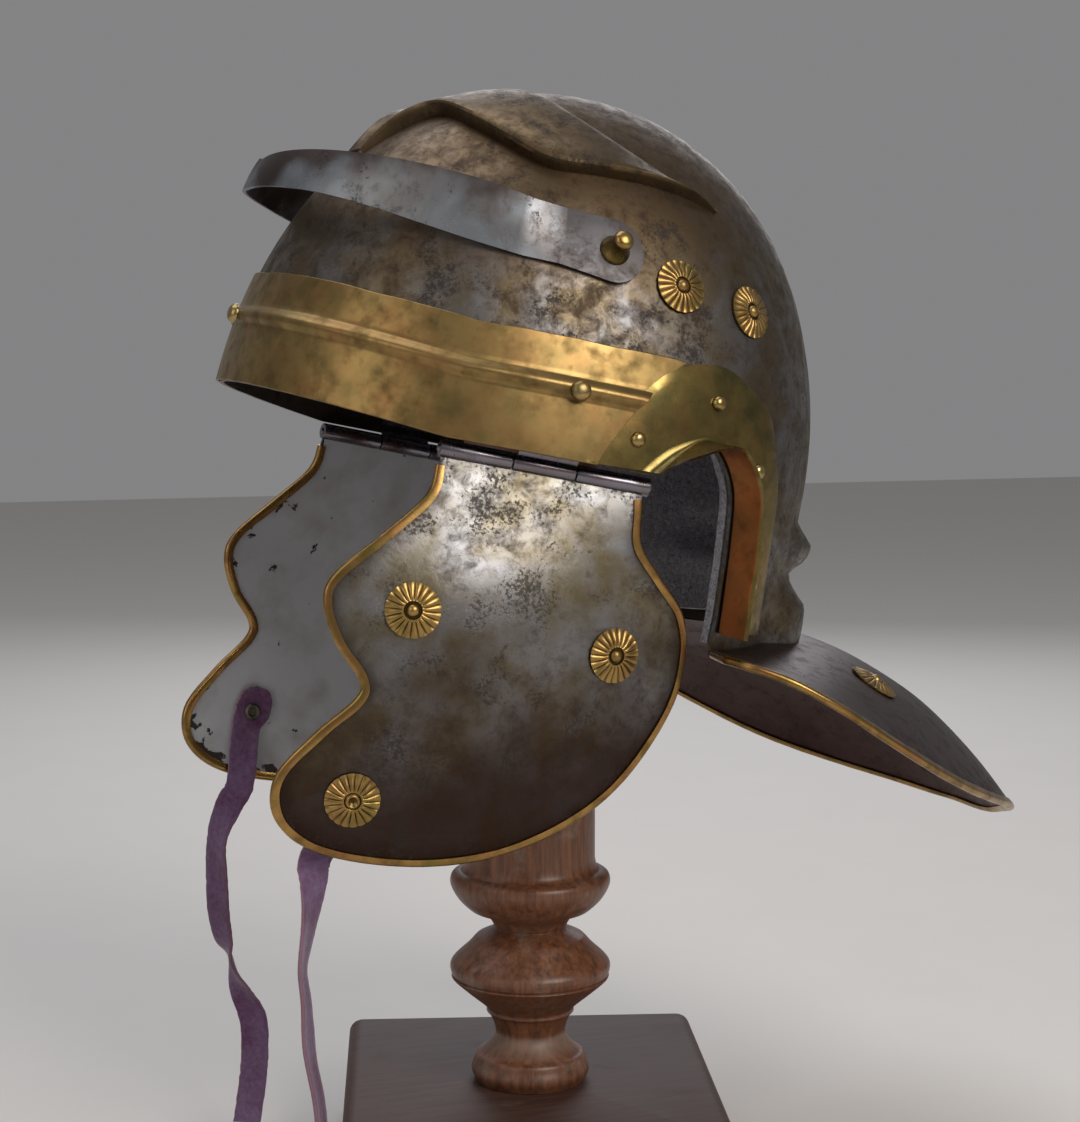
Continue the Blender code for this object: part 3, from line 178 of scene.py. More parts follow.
def wall(outer: Grid, inner: Grid, wrap: bool = False, inner_slot: int = 0) -> Mesh:
    """A closed wall between two grids of points.

    Args:
        outer: rows of the outer face.
        inner: rows of the inner face, as many.
        wrap: whether each row closes on itself; a first row of one repeated point is then a pole.
        inner_slot: the inner face's material slot.

    Returns:
        The mesh.
    """
    bm = bmesh.new()
    grids = []
    for points, slot in ((outer, 0), (inner, inner_slot)):
        rows = []
        for row in points:
            pole = wrap and (row[0] - row[len(row) // 2]).length < POLE
            rows.append([bm.verts.new(row[0])] * len(row) if pole else [bm.verts.new(p) for p in row])
        grids.append(rows)
        skin(bm, rows, wrap, slot)
    first, second = grids
    edges = [(first[0], second[0]), (first[-1], second[-1])]
    if not wrap:
        edges += [([row[end] for row in first], [row[end] for row in second]) for end in (0, -1)]
    for a, b in edges:
        if a[0] is not a[1]:
            skin(bm, [a, b], wrap)
    return bm


def turned(profile: Sequence[tuple[float, float]], sides: int) -> Mesh:
    """A solid turned about Z from (radius, height) points, both ends on the axis."""
    bm = bmesh.new()
    turns = [2 * math.pi * k / sides for k in range(sides)]
    rows = []
    for radius, height in profile:
        if radius < POLE:
            rows.append([bm.verts.new((0, 0, height))] * sides)
        else:
            rows.append([bm.verts.new((radius * math.cos(a), radius * math.sin(a), height)) for a in turns])
    skin(bm, rows, True)
    return bm


def rod(start: Vector, end: Vector, radius: float) -> Mesh:
    """A cylinder between two points with rounded ends."""
    length, cut = (end - start).length, ROUND_OFF
    profile = [(0, 0), (radius - cut, 0), (radius - 0.3 * cut, 0.3 * cut), (radius, cut)]
    bm = turned(profile + [(r, length - h) for r, h in reversed(profile)], ROD_SIDES)
    turn = (end - start).to_track_quat("Z", "Y").to_matrix().to_4x4()
    bmesh.ops.transform(bm, matrix=Matrix.Translation(start) @ turn, verts=bm.verts)
    return bm


def seat(point: Vector, normal: Vector, along: Vector = Vector((0, 0, 1))) -> Matrix:
    """A frame with its origin at point, Z along normal and X near along."""
    z = normal.normalized()
    x = (along - along.dot(z) * z).normalized()
    return Matrix.Translation(point) @ Matrix((x, z.cross(x), z)).transposed().to_4x4()


# Finishes


def linear(code: str) -> tuple[float, float, float, float]:
    """The linear colour of an sRGB hex code."""
    parts = [int(code[k : k + 2], 16) / 255 for k in (1, 3, 5)]
    r, g, b = (p / 12.92 if p <= 0.04045 else ((p + 0.055) / 1.055) ** 2.4 for p in parts)
    return (r, g, b, 1.0)


def feed(node: bpy.types.Node, inputs: dict[str | int, object]) -> None:
    """Give a node's sockets their values, or links from other nodes' outputs."""
    for key, value in inputs.items():
        if isinstance(value, Socket):
            node.id_data.links.new(value, node.inputs[key])
        else:
            node.inputs[key].default_value = value


def put(
    tree: Tree, kind: str, inputs: dict[str | int, object], stops: Stops = (), out: str | int = 0, **settings: object
) -> Socket:
    """Add a node.

    Args:
        tree: the material's node tree.
        kind: the node's type.
        inputs: a value or another node's output for each socket.
        stops: a ramp's places, each with a hex colour or a grey value.
        out: which output to hand back.
        **settings: the node's own settings.

    Returns:
        The output.
    """
    made = tree.nodes.new(kind)
    for key, value in settings.items():
        setattr(made, key, value)
    feed(made, inputs)
    for stop, (place, colour) in zip(made.color_ramp.elements if stops else (), stops):
        stop.position = place
        stop.color = linear(colour) if isinstance(colour, str) else (colour, colour, colour, 1)
    return made.outputs[out]


def grain(size_mm: float) -> float:
    """A noise scale whose blotches are size_mm across."""
    return 1000 / size_mm


def ramp(low: float, high: float, shift: float = 0.0, top: float = 1.0) -> Stops:
    """Stops from 0 at low to top at high, both moved down by shift."""
    return (low - shift, 0.0), (high - shift, top)


def patches(
    tree: Tree, where: Socket, size_mm: float, stops: Stops, detail: float, rough: float = 0.5, warp: float = 0.0
) -> Socket:
    """Patches of noise, read through a ramp.

    Args:
        tree: the material's node tree.
        where: the coordinates.
        size_mm: how far the patches are across.
        stops: the ramp's stops.
        detail: the noise's octaves.
        rough: how strong its finer octaves are.
        warp: its distortion.

    Returns:
        The ramp's colour.
    """
    shape = {"Vector": where, "Scale": grain(size_mm), "Detail": detail, "Roughness": rough, "Distortion": warp}
    return put(tree, "ShaderNodeValToRGB", {"Fac": put(tree, "ShaderNodeTexNoise", shape)}, stops)


def tint(tree: Tree, colour: object, mask: Socket, code: str, strength: float = 1.0) -> Socket:
    """Lay a hex colour over a colour where a mask says, as strongly as strength says."""
    if strength < 1:
        mask = put(tree, "ShaderNodeMath", {0: mask, 1: strength}, operation="MULTIPLY")
    return put(tree, "ShaderNodeMix", {0: mask, 6: colour, 7: linear(code)}, out=2, data_type="RGBA")


@dataclass(frozen=True)
class Coat:
    """What every finish has: its material's name and a slot name."""

    name: str
    slot: str = ""

    def sockets(self, tree: Tree, where: Socket) -> dict[str, object]:
        """Values and links for the shader, from the coordinates."""
        raise NotImplementedError

    def make(self) -> bpy.types.Material:
        """Build the material."""
        made = bpy.data.materials.new(self.name)
        made.use_nodes = True
        tree = made.node_tree
        where = put(tree, "ShaderNodeTexCoord", {}, out="Object")
        feed(tree.nodes["Principled BSDF"], self.sockets(tree, where))
        return made


@dataclass(frozen=True)
class Patina(Coat):
    """Forged iron sheet, polished once and then left to brown: a bright bluish metal with a bronze haze, clouds of
    brown oxide and black pits, and low down a painted shade with a painted dark red reflection."""

    slot: str = "steel"
    bright: str = "#a9adb3"
    haze: str = "#94805c"
    cloud: str = "#5a4636"
    pit: str = "#1c1512"
    # low: painted shade and a painted dark red reflection, laid over the lower part
    low: str = "#3a2420"
    high: str = "#8f7d5a"
    # dirt: laid where the mesh marks; along the cheek pieces' edges it is dirt and painted shade
    dirt: str = "#2a1d17"
    painted_low_shade_span: tuple[float, float] = (0.0, -0.01)
    high_span: tuple[float, float] = (1.0, 1.1)
    haze_share: float = 0.5
    cloud_share: float = 0.5
    pit_share: float = 0.5
    roughness: float = 0.33
    cloud_mm: float = 9.0
    pit_mm: float = 1.3

    def sockets(self, tree: Tree, where: Socket) -> dict[str, object]:
        """Values and links for the shader, from the coordinates."""
        wander = put(tree, "ShaderNodeTexNoise", {"Vector": where, "Scale": grain(34), "Detail": 4.0})
        wander = put(tree, "ShaderNodeMath", {0: wander, 1: 0.5}, operation="SUBTRACT")
        above = put(tree, "ShaderNodeSeparateXYZ", {0: where}, out="Z")
        height = put(tree, "ShaderNodeMath", {0: wander, 1: 0.07, 2: above}, operation="MULTIPLY_ADD")
        # low: where the painted shade and reflection lie, towards the bottom; high: the tone towards the top
        low, high = (
            put(
                tree,
                "ShaderNodeMapRange",
                {"Value": height, "From Min": span[0], "From Max": span[1]},
                interpolation_type="SMOOTHSTEP",
            )
            for span in (self.painted_low_shade_span, self.high_span)
        )
        # Haze: broad patches of thin bronze-coloured oxide, 20 to 40 mm across
        haze = patches(tree, where, 22, ramp(0.57, 0.88, 0.4 * self.haze_share), 5.0, warp=0.6)
        # Clouds: brown oxide in ragged patches, which thin out to single grains at their edges
        cloud = patches(tree, where, self.cloud_mm, ramp(0.57, 0.80, 0.22 * self.cloud_share), 10.0, 0.76, 0.3)
        # Pits: rust pits are 0.2 to 0.5 mm; they are drawn about three times as coarse, to show at all
        shape = {"Vector": where, "Scale": grain(self.pit_mm), "Detail": 4.0, "Roughness": 0.7}
        fine = put(tree, "ShaderNodeTexNoise", shape)
        crowd = put(tree, "ShaderNodeTexNoise", {"Vector": where, "Scale": grain(14), "Detail": 3.0})
        speck = put(tree, "ShaderNodeMath", {0: fine, 1: crowd}, operation="MULTIPLY")
        pit = put(tree, "ShaderNodeValToRGB", {"Fac": speck}, ramp(0.375, 0.43, 0.10 * self.pit_share))
        # A darker colour where the mesh marks it: dirt and painted shade along the cheek pieces' edges, a darker tone
        # on the peak's tabs
        rim = put(tree, "ShaderNodeAttribute", {}, out="Fac", attribute_name="rim")
        colour: object = linear(self.bright)
        for mask, code, strength in (
            (haze, self.haze, 0.85),
            (high, self.high, 0.9),
            # The low colour is painted shade and a painted dark red reflection
            (low, self.low, 0.94),
            (cloud, self.cloud, 0.72),
            (pit, self.pit, 0.72),
            # rim: dirt and painted shade along the cheek pieces' edges
            (rim, self.dirt, 0.7),
        ):
            colour = tint(tree, colour, mask, code, strength)
        dull = put(tree, "ShaderNodeMath", {0: cloud, 1: pit}, operation="MAXIMUM")
        spread = {"Value": dull, "To Min": self.roughness, "To Max": self.roughness + 0.24}
        relief = put(tree, "ShaderNodeMath", {0: dull, 1: -1.0}, operation="MULTIPLY")
        bump = put(tree, "ShaderNodeBump", {"Strength": 0.25, "Distance": 0.12 * MM, "Height": relief})
        swell = put(tree, "ShaderNodeTexNoise", {"Vector": where, "Scale": grain(11), "Detail": 2.0})
        swell_bump = {"Strength": 0.35, "Distance": 0.25 * MM, "Height": swell, "Normal": bump}
        return {
            "Base Color": colour,
            "Roughness": put(tree, "ShaderNodeMapRange", spread),
            "Metallic": put(tree, "ShaderNodeMapRange", {"Value": pit, "To Min": 1.0, "To Max": 0.55}),
            "Normal": put(tree, "ShaderNodeBump", swell_bump),
        }


@dataclass(frozen=True)
class Brass(Coat):
    """Rolled brass sheet, hand-worked and handled: golden metal with copper-red and greenish tarnish in soft
    clouds, darker where it was not rubbed."""

    slot: str = "brass"
    gold: str = "#c39a4a"
    copper: str = "#a8683a"
    green: str = "#6e6a34"
    dark: str = "#3a2c17"
    dirt: str = "#2c1a0c"
    copper_share: float = 0.4
    green_share: float = 0.4
    dark_share: float = 0.3
    roughness: float = 0.27
    cloud_mm: float = 16.0

    def sockets(self, tree: Tree, where: Socket) -> dict[str, object]:
        """Values and links for the shader, from the coordinates."""
        colour: object = linear(self.gold)
        for code, amount, size_mm, shift, strength in (
            (self.copper, self.copper_share, self.cloud_mm, (3.1, 0.0, 1.7), 0.75),
            (self.green, self.green_share, 0.7 * self.cloud_mm, (0.0, 5.3, 2.9), 0.8),
            (self.dark, self.dark_share, 0.45 * self.cloud_mm, (7.7, 1.9, 0.0), 0.7),
        ):
            moved = put(tree, "ShaderNodeVectorMath", {0: where, 1: shift}, operation="ADD")
            mask = patches(tree, moved, size_mm, ramp(0.56, 0.88, 0.3 * amount), 6.0, 0.56, 0.1)
            colour = tint(tree, colour, mask, code, strength)
        # Dirt left in the recesses of the relief, which the mesh marks
        recess = put(tree, "ShaderNodeAttribute", {}, out="Fac", attribute_name="recess")
        # The last mask is the dark film's, which is duller
        spread = {"Value": mask, "To Min": self.roughness, "To Max": self.roughness + 0.2}
        marks = put(tree, "ShaderNodeTexNoise", {"Vector": where, "Scale": grain(9), "Detail": 4.0})
        return {
            "Base Color": tint(tree, colour, recess, self.dirt, 0.85),
            "Roughness": put(tree, "ShaderNodeMapRange", spread),
            "Metallic": 1.0,
            "Normal": put(tree, "ShaderNodeBump", {"Strength": 0.2, "Distance": 0.07 * MM, "Height": marks}),
        }


@dataclass(frozen=True)
class OldPaint(Coat):
    """Light grey paint brushed on iron, satin, chipped to the dark metal along the edge and in a few spots."""

    slot: str = "steel"
    paint: str = "#aaadb2"
    stain: str = "#8d8886"
    chip: str = "#211a17"

    def sockets(self, tree: Tree, where: Socket) -> dict[str, object]:
        """Values and links for the shader, from the coordinates."""
        stained = patches(tree, where, 16, ramp(0.45, 0.75, top=0.8), 5.0)
        colour = tint(tree, linear(self.paint), stained, self.stain)
        # Chips: 1 to 4 mm flakes, single ones in the middle and many along the edge
        shape = {"Vector": where, "Scale": grain(7), "Detail": 5.0, "Roughness": 0.55, "Distortion": 0.3}
        flakes = put(tree, "ShaderNodeTexNoise", shape)
        rim = put(tree, "ShaderNodeAttribute", {}, out="Fac", attribute_name="rim")
        lifted = put(tree, "ShaderNodeMath", {0: rim, 1: 0.22, 2: flakes}, operation="MULTIPLY_ADD")
        chip = put(tree, "ShaderNodeValToRGB", {"Fac": lifted}, ramp(0.695, 0.715))
        relief = put(tree, "ShaderNodeMath", {0: chip, 1: -1.0}, operation="MULTIPLY")
        return {
            "Base Color": tint(tree, colour, chip, self.chip),
            "Roughness": 0.45,
            "Normal": put(tree, "ShaderNodeBump", {"Strength": 0.8, "Distance": 0.15 * MM, "Height": relief}),
        }


@dataclass(frozen=True)
class Felt(Coat):
    """Pressed wool felt: a dark grey mat of short fibres with lighter and bluish ones in it, quite dull."""

    slot: str = "felt"
    dark: str = "#47454e"
    light: str = "#a9a8b0"

    def sockets(self, tree: Tree, where: Socket) -> dict[str, object]:
        """Values and links for the shader, from the coordinates."""
        # Wool fibres are 0.03 mm thick; their tufts show, about 1 mm across
        shape = {"Vector": where, "Scale": grain(1.6), "Detail": 6.0, "Roughness": 0.75, "Distortion": 1.2}
        tufts = put(tree, "ShaderNodeTexNoise", shape)
        return {
            "Base Color": put(tree, "ShaderNodeValToRGB", {"Fac": tufts}, ((0.35, self.dark), (0.72, self.light))),
            "Roughness": 0.95,
            "Sheen Weight": 0.25,
            "Specular IOR Level": 0.2,
            "Normal": put(tree, "ShaderNodeBump", {"Strength": 0.9, "Distance": 0.6 * MM, "Height": tufts}),
        }


@dataclass(frozen=True)
class Suede(Coat):
    """Dyed split leather with its nap: plum on one side, greyer where it is rubbed, pale along the cut edges."""

    slot: str = "suede"
    plum: str = "#55304f"
    rubbed: str = "#6f5c7b"
    cut: str = "#8a6470"

    def sockets(self, tree: Tree, where: Socket) -> dict[str, object]:
        """Values and links for the shader, from the coordinates."""
        shape = {"Vector": where, "Scale": grain(2.2), "Detail": 6.0, "Roughness": 0.7}
        nap = put(tree, "ShaderNodeTexNoise", shape)
        patch = put(tree, "ShaderNodeTexNoise", {"Vector": where, "Scale": grain(19), "Detail": 3.0})
        level = put(tree, "ShaderNodeMath", {0: nap, 1: patch}, operation="ADD")
        level = put(tree, "ShaderNodeMath", {0: level, 1: 0.5}, operation="MULTIPLY")
        colour = put(tree, "ShaderNodeValToRGB", {"Fac": level}, ((0.38, self.plum), (0.64, self.rubbed)))
        rim = put(tree, "ShaderNodeAttribute", {}, out="Fac", attribute_name="rim")
        return {
            "Base Color": tint(tree, colour, rim, self.cut),
            "Roughness": 0.88,
            "Sheen Weight": 0.35,
            "Specular IOR Level": 0.25,
            "Normal": put(tree, "ShaderNodeBump", {"Strength": 0.7, "Distance": 0.35 * MM, "Height": nap}),
        }


@dataclass(frozen=True)
class Wood(Coat):
    """Hardwood with a dark varnish: long dark grain along the trunk, worn satin gloss and pale dust in the turned
    grooves or on the top."""

    slot: str = "turned_wood"
    dark: str = "#3a2116"
    warm: str = "#82553a"
    dust: str = "#8b7d72"
    dust_share: float = 0.35
    stretch: tuple[float, float, float] = (1.0, 1.0, 0.09)
    roughness: float = 0.38

    def sockets(self, tree: Tree, where: Socket) -> dict[str, object]:
        """Values and links for the shader, from the coordinates."""
        along = put(tree, "ShaderNodeMapping", {"Vector": where, "Scale": self.stretch})
        # Pores are 0.1 to 0.3 mm wide and some centimetres long, drawn about 1 mm wide
        shape = {"Vector": along, "Scale": grain(2.4), "Detail": 7.0, "Roughness": 0.62, "Distortion": 0.5}
        pores = put(tree, "ShaderNodeTexNoise", shape)
        colour = put(tree, "ShaderNodeValToRGB", {"Fac": pores}, ((0.25, self.dark), (0.74, self.warm)))
        thin = patches(tree, where, 15, ramp(0.66, 0.95, 0.3 * self.dust_share, 0.8), 6.0, 0.65)
        recess = put(tree, "ShaderNodeAttribute", {}, out="Fac", attribute_name="recess")
        settled = put(tree, "ShaderNodeMath", {0: recess, 1: thin}, operation="MAXIMUM")
        spread = {"Value": settled, "To Min": self.roughness, "To Max": self.roughness + 0.3}
        return {
            "Base Color": tint(tree, colour, settled, self.dust),
            "Roughness": put(tree, "ShaderNodeMapRange", spread),
            "Normal": put(tree, "ShaderNodeBump", {"Strength": 0.25, "Distance": 0.2 * MM, "Height": pores}),
        }


@dataclass(frozen=True)
class PaleFloor(Coat):
    """Matt painted board, pale and a little warm, with nothing on it."""

    name: str = "pale studio floor"
    colour: str = "#d9d6d2"
    mark: str = "#d5d2ce"

    def sockets(self, tree: Tree, where: Socket) -> dict[str, object]:
        """Values and links for the shader, from the coordinates."""
        # Roller marks some centimetres across, very faint
        marks = put(tree, "ShaderNodeTexNoise", {"Vector": where, "Scale": grain(60), "Detail": 3.0})
        return {"Base Color": tint(tree, linear(self.colour), marks, self.mark), "Roughness": 0.9}


class Finish(Enum):
    """The object's finishes."""

    BOWL = Patina(
        "forged iron of the bowl", bright="#7c7f85", haze="#66573c", cloud="#35281f", pit="#120c0a", high="#6a5842",
        high_span=(0.345, 0.395), painted_low_shade_span=(0.20, 0.15), haze_share=0.75, cloud_share=0.78, pit_share=0.75,
        cloud_mm=7.0, roughness=0.36,
    )
    BROW = replace(BOWL, name="forged iron of the eyebrows", high="#6a583f", cloud_share=0.68)
    INSIDE = Patina("iron inside the bowl", bright="#4a423c", haze="#3a3029", cloud="#241b16", roughness=0.5)
    # The neck guard's dark colours are partly its browned iron and partly painted shade over the helmet's rear
    GUARD = Patina(
        "browned iron of the neck guard", bright="#4c3a37", haze="#402e29", cloud="#30211d", pit="#1d1412",
        cloud_share=0.35, pit_share=0.25, roughness=0.40,
    )
    PEAK = Patina(
        "forged iron of the peak", bright="#8a8f95", haze="#5a4d42", cloud="#382b23", high="#3d2e26",
        high_span=(0.383, 0.402), haze_share=0.35, cloud_share=0.3, roughness=0.4,
    )
    # The cheek pieces' low colour paints shade and a dark red reflection over their lower part
    CHEEK = Patina(
        "forged iron of the cheek pieces", bright="#a6a7aa", haze="#7c6f47", cloud="#3a2e27", low="#2f1e1a",
        painted_low_shade_span=(0.290, 0.170), haze_share=0.62, cloud_share=0.6, pit_share=0.85, cloud_mm=6.0,
    )
    HINGE = Patina(
        "drawn iron of the hinges", bright="#83808a", haze="#6a5c58", cloud_share=0.2, pit_share=0.2, roughness=0.25
    )
    PAINT = OldPaint("grey paint inside the cheek pieces")
    BAND = Brass("rolled brass of the brow band", gold="#9b8152", copper="#8b633f", green="#675e3a", roughness=0.36)
    EAR = Brass(
        "rolled brass of the ear guards", gold="#8d7a48", copper="#875d3c", green="#565335", copper_share=0.25,
        green_share=0.6,
    )
    FLANGE = Brass(
        "tarnished brass of the ear flanges", gold="#8f5a34", copper="#7c4423", green="#6a5230", copper_share=0.6,
        green_share=0.2, roughness=0.42,
    )
    EDGING = Brass("drawn brass of the edgings", gold="#a98550", copper="#8f6040", copper_share=0.5)
    ROSETTE = Brass(
        "pressed brass of the rosettes", gold="#a48752", copper="#85623d", green_share=0.2, dark_share=0.2,
        roughness=0.34,
    )
    RIVET = Brass("brass of the rivets", gold="#a89565", green_share=0.2, dark_share=0.2)
    KNOB = Brass("turned brass of the knobs", gold="#a58a55", dark_share=0.4)
    EYELET = Patina("iron of the eyelets", bright="#6a6a66", haze="#55554a", roughness=0.4)
    FELT = Felt("grey wool felt")
    THONG = Suede("plum suede")
    POST = Wood("turned hardwood of the post")
    BOARD = Wood(
        "stained hardwood of the board", "board", dark="#2c1913", warm="#4f3329", dust="#6b5a51", dust_share=0.3,
        stretch=(0.09, 1.0, 1.0), roughness=0.6,
    )


# The maker of pieces


@dataclass
class Pose:
    """How the helmet stands on its post."""

    pitch: float = math.radians(15.62)
    shift: float = -0.0043
    rim_height: float = 0.2891

    @property
    def matrix(self) -> Matrix:
        """The helmet's frame in the model's frame."""
        return Matrix.Translation((self.shift, 0, self.rim_height)) @ Matrix.Rotation(self.pitch, 4, "Y")


@dataclass
class Maker:
    """Turns meshes into named pieces that ride on a body and stand for their solids."""

    pose: Pose
    made: list[bpy.types.Object] = field(default_factory=list)
    materials: dict[Finish, bpy.types.Material] = field(default_factory=dict)

    def material(self, finish: Finish) -> bpy.types.Material:
        """A finish's material, built at its first use."""
        if finish not in self.materials:
            self.materials[finish] = finish.value.make()
        return self.materials[finish]

    def piece(
        self,
        name: str,
        mesh_bm: Mesh,
        *finishes: Finish,
        node: str = "",
        body: Body = Body.HELMET,
        place: Matrix | None = None,
        on_stand: bool = False,
        angle: float = 40,
        bevel: float = 0.0,
        marks: dict[str, Sequence[float]] | None = None,
    ) -> bpy.types.Object:
        """Make a piece.

        Args:
            name: the piece's name.
            mesh_bm: its mesh, which is used up.
            *finishes: its finishes, in slot order.
            node: the solid that it stands for.
            body: the body that it rides on.
            place: where the mesh goes in the helmet's frame.
            on_stand: whether the mesh and its place are in the model's frame instead.
            angle: edges sharper than this many degrees stay sharp.
            bevel: width of the rounding along sharp edges.
            marks: values for each vertex that the finish reads, by name.

        Returns:
            The object.
        """
        place = place or Matrix()
        place = place if on_stand else self.pose.matrix @ place
        bmesh.ops.transform(mesh_bm, matrix=place, verts=mesh_bm.verts)
        bmesh.ops.recalc_face_normals(mesh_bm, faces=mesh_bm.faces)
        mesh = bpy.data.meshes.new(name)
        mesh_bm.to_mesh(mesh)
        mesh_bm.free()
        mesh.shade_smooth()
        mesh.set_sharp_from_angle(angle=math.radians(angle))
        for finish in finishes:
            mesh.materials.append(self.material(finish))
        for mark, values in (marks or {}).items():
            held = mesh.attributes.new(mark, "FLOAT", "POINT")
            held.data.foreach_set("value", np.asarray(values, np.float32))
        obj = bpy.data.objects.new(name, mesh)
        bpy.context.scene.collection.objects.link(obj)
        if bevel:
            modifier = obj.modifiers.new("rounded edges", "BEVEL")
            modifier.width = bevel
            modifier.segments = 2
            modifier.limit_method = "ANGLE"
            modifier.angle_limit = math.radians(angle)
        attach(obj, body.value)
        if node:
            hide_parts(node)
        self.made.append(obj)
        LOG.info("%s: %d faces on %s", name, len(mesh.polygons), body.value)
        return obj


# Shapes of the helmet


@dataclass
class BowlForm:
    """The bowl's surface: a rounded plan that shrinks towards the crown, longer to the brow than to the nape."""

    brow_length: float = 0.1215
    nape_length: float = 0.113
    half_width: float = 0.0975
    height: float = 0.143
    thickness: float = 0.0016
    plan_power: float = 2.1
    brow_power: float = 2.2
    nape_power: float = 2.05
    nape_depth: float = 0.0367
    rib_height: float = 0.0075
    rib_depths: Curve = (-0.14, -0.03, 0.07, 0.24, 0.42, 0.58, 0.70, 0.88, 1.00, 1.75)
    rib_swells: Curve = (0.00, 0.50, 1.00, 0.88, 0.25, 0.75, 1.40, 1.60, 1.65, 1.65)
    dent: float = 0.0005

    def power(self, x: float) -> float:
        """The side view's power, from the brow's to the nape's."""
        t = smooth(x, -0.6 * self.brow_length, 0.6 * self.brow_length)
        return self.brow_power * (1 - t) + self.nape_power * t

    def reach(self, x: float) -> float:
        """The half length on the side of x."""
        return self.brow_length if x < 0 else self.nape_length

    def size(self, level: float, power: float) -> float:
        """Size of the plan at a level, against its size at the rim."""
        return max(1 - (max(level, 0.0) / self.height) ** power, 0.0) ** (1 / power)

    def swell(self, x: float, level: float) -> float:
        """How far the ribs of the nape stand out."""
        back = smooth(x, 0.79 * self.nape_length, 0.93 * self.nape_length)
        if back == 0 or level > -self.rib_depths[0] * self.nape_depth:
            return 0.0
        return back * self.rib_height * read_curve(self.rib_depths, self.rib_swells, -level / self.nape_depth)

    def half_y(self, x: float, level: float) -> float:
        """Half width at a place of the side view."""
        size = self.size(level, self.power(x))
        rest = max(1 - (abs(x) / (self.reach(x) * size)) ** self.plan_power, 0.0)
        return self.half_width * size * rest ** (1 / self.plan_power)

    def side(self, x: float, level: float, side: Side, offset: float = 0.0) -> tuple[Vector, Vector]:
        """A point of the side wall.

        Args:
            x: its place along the helmet.
            level: its height over the rim.
            side: the wearer's side.
            offset: how far it lies outside the wall.

        Returns:
            The point and the wall's normal there.
        """
        places = ((x, level), (x + STEP, level), (x, level + STEP))
        here, fore, up = (Vector((a, self.half_y(a, b), b)) for a, b in places)
        normal = (fore - here).cross(up - here).normalized()
        normal = normal if normal.y > 0 else -normal
        return side.flip @ (here + offset * normal), side.flip @ normal

    def top_z(self, x: float, y: float) -> float:
        """Height over a place of the plan."""
        p = self.plan_power
        size = ((abs(x) / self.reach(x)) ** p + (abs(y) / self.half_width) ** p) ** (1 / p)
        power = self.power(x)
        return self.height * max(1 - size**power, 0.0) ** (1 / power)

    def top(self, x: float, y: float, offset: float) -> Vector:
        """A point over a place of the plan, moved out along the wall's normal."""
        places = ((x, y), (x + STEP, y), (x, y + STEP))
        here, fore, across = (Vector((a, b, self.top_z(a, b))) for a, b in places)
        return here + (offset + self.dents(here)) * (fore - here).cross(across - here).normalized()

    def dents(self, point: Vector) -> float:
        """The wall's unevenness at a point, none near the rim."""
        fade = smooth(point.z, 0.035, 0.07)
        return fade * (uneven(point, 0.034, self.dent, 3.0) + uneven(point, 0.016, 0.3 * self.dent, 8.0))

    def ring(self, angle: float, level: float, offset: float, swell_share: float = 1.0) -> Vector:
        """A point of the bowl.

        Args:
            angle: how far round from the brow.
            level: its height over the rim.
            offset: how far it lies outside the wall.
            swell_share: how much of the nape's ribs it follows.

        Returns:
            The point.
        """
        c, s = math.cos(angle), math.sin(angle)
        plan_x = -math.copysign(abs(c) ** (2 / self.plan_power), c)
        plan_y = math.copysign(abs(s) ** (2 / self.plan_power), s)
        reach = self.reach(plan_x)
        power = self.power(plan_x * self.brow_length)
        size = self.size(level, power)
        x, y = reach * size * plan_x, self.half_width * size * plan_y
        out = Vector((plan_x / reach, plan_y / self.half_width, 0)).normalized()
        rise = min((max(level, 0.0) / self.height) ** (power / 2), 1.0) ** 1.1
        normal = (out * math.sqrt(max(1 - rise * rise, 0)) + Vector((0, 0, rise))).normalized()
        point = Vector((x, y, level))
        return point + out * self.swell(x, level) * swell_share + normal * (offset + self.dents(point))


@dataclass
class GuardForm:
    """The neck guard's upper face: an arched fan that falls towards its back edge."""

    bowl: BowlForm
    reach: float = 0.249
    half_width: float = 0.124
    thickness: float = 0.0016
    fall: float = 0.053
    arch: float = 0.094
    twist: float = 0.009
    reach_shares: Curve = (0.232, 0.259, 0.321, 0.395, 0.475, 0.583, 0.703, 0.808, 0.893, 0.956, 0.990, 1.000)
    width_shares: Curve = (0.840, 0.925, 0.975, 0.997, 0.985, 0.915, 0.785, 0.625, 0.450, 0.270, 0.110, 0.000)

    def level(self, x: float, y: float) -> float:
        """Height of the upper face over a place of its plan."""
        crest, start = 0.5 * self.reach, 0.228 * self.reach
        fall = self.fall * ((x - crest) / (self.reach - crest)) ** 2
        arch = self.arch * max(x - start, 0) / (self.reach - start)
        twist = self.twist * share(x, 0.36 * self.reach, self.reach)
        return -self.bowl.nape_depth - fall - arch * (y / self.half_width) ** 2 - twist * y / self.half_width

    def normal(self, x: float, y: float) -> Vector:
        """The upward normal over a place of the plan."""
        step, here = 2 * STEP, self.level(x, y)
        fore = Vector((step, 0, self.level(x + step, y) - here))
        return fore.cross(Vector((0, step, self.level(x, y + step) - here))).normalized()

    def outline(self, cuts: int) -> list[Vector]:
        """The edge in plan, from the left corner round the back to the right one."""
        half = [(r * self.reach, w * self.half_width) for r, w in zip(self.reach_shares, self.width_shares)]
        return spline([(x, -y, 0.0) for x, y in half] + [(x, y, 0.0) for x, y in half[-2::-1]], cuts)


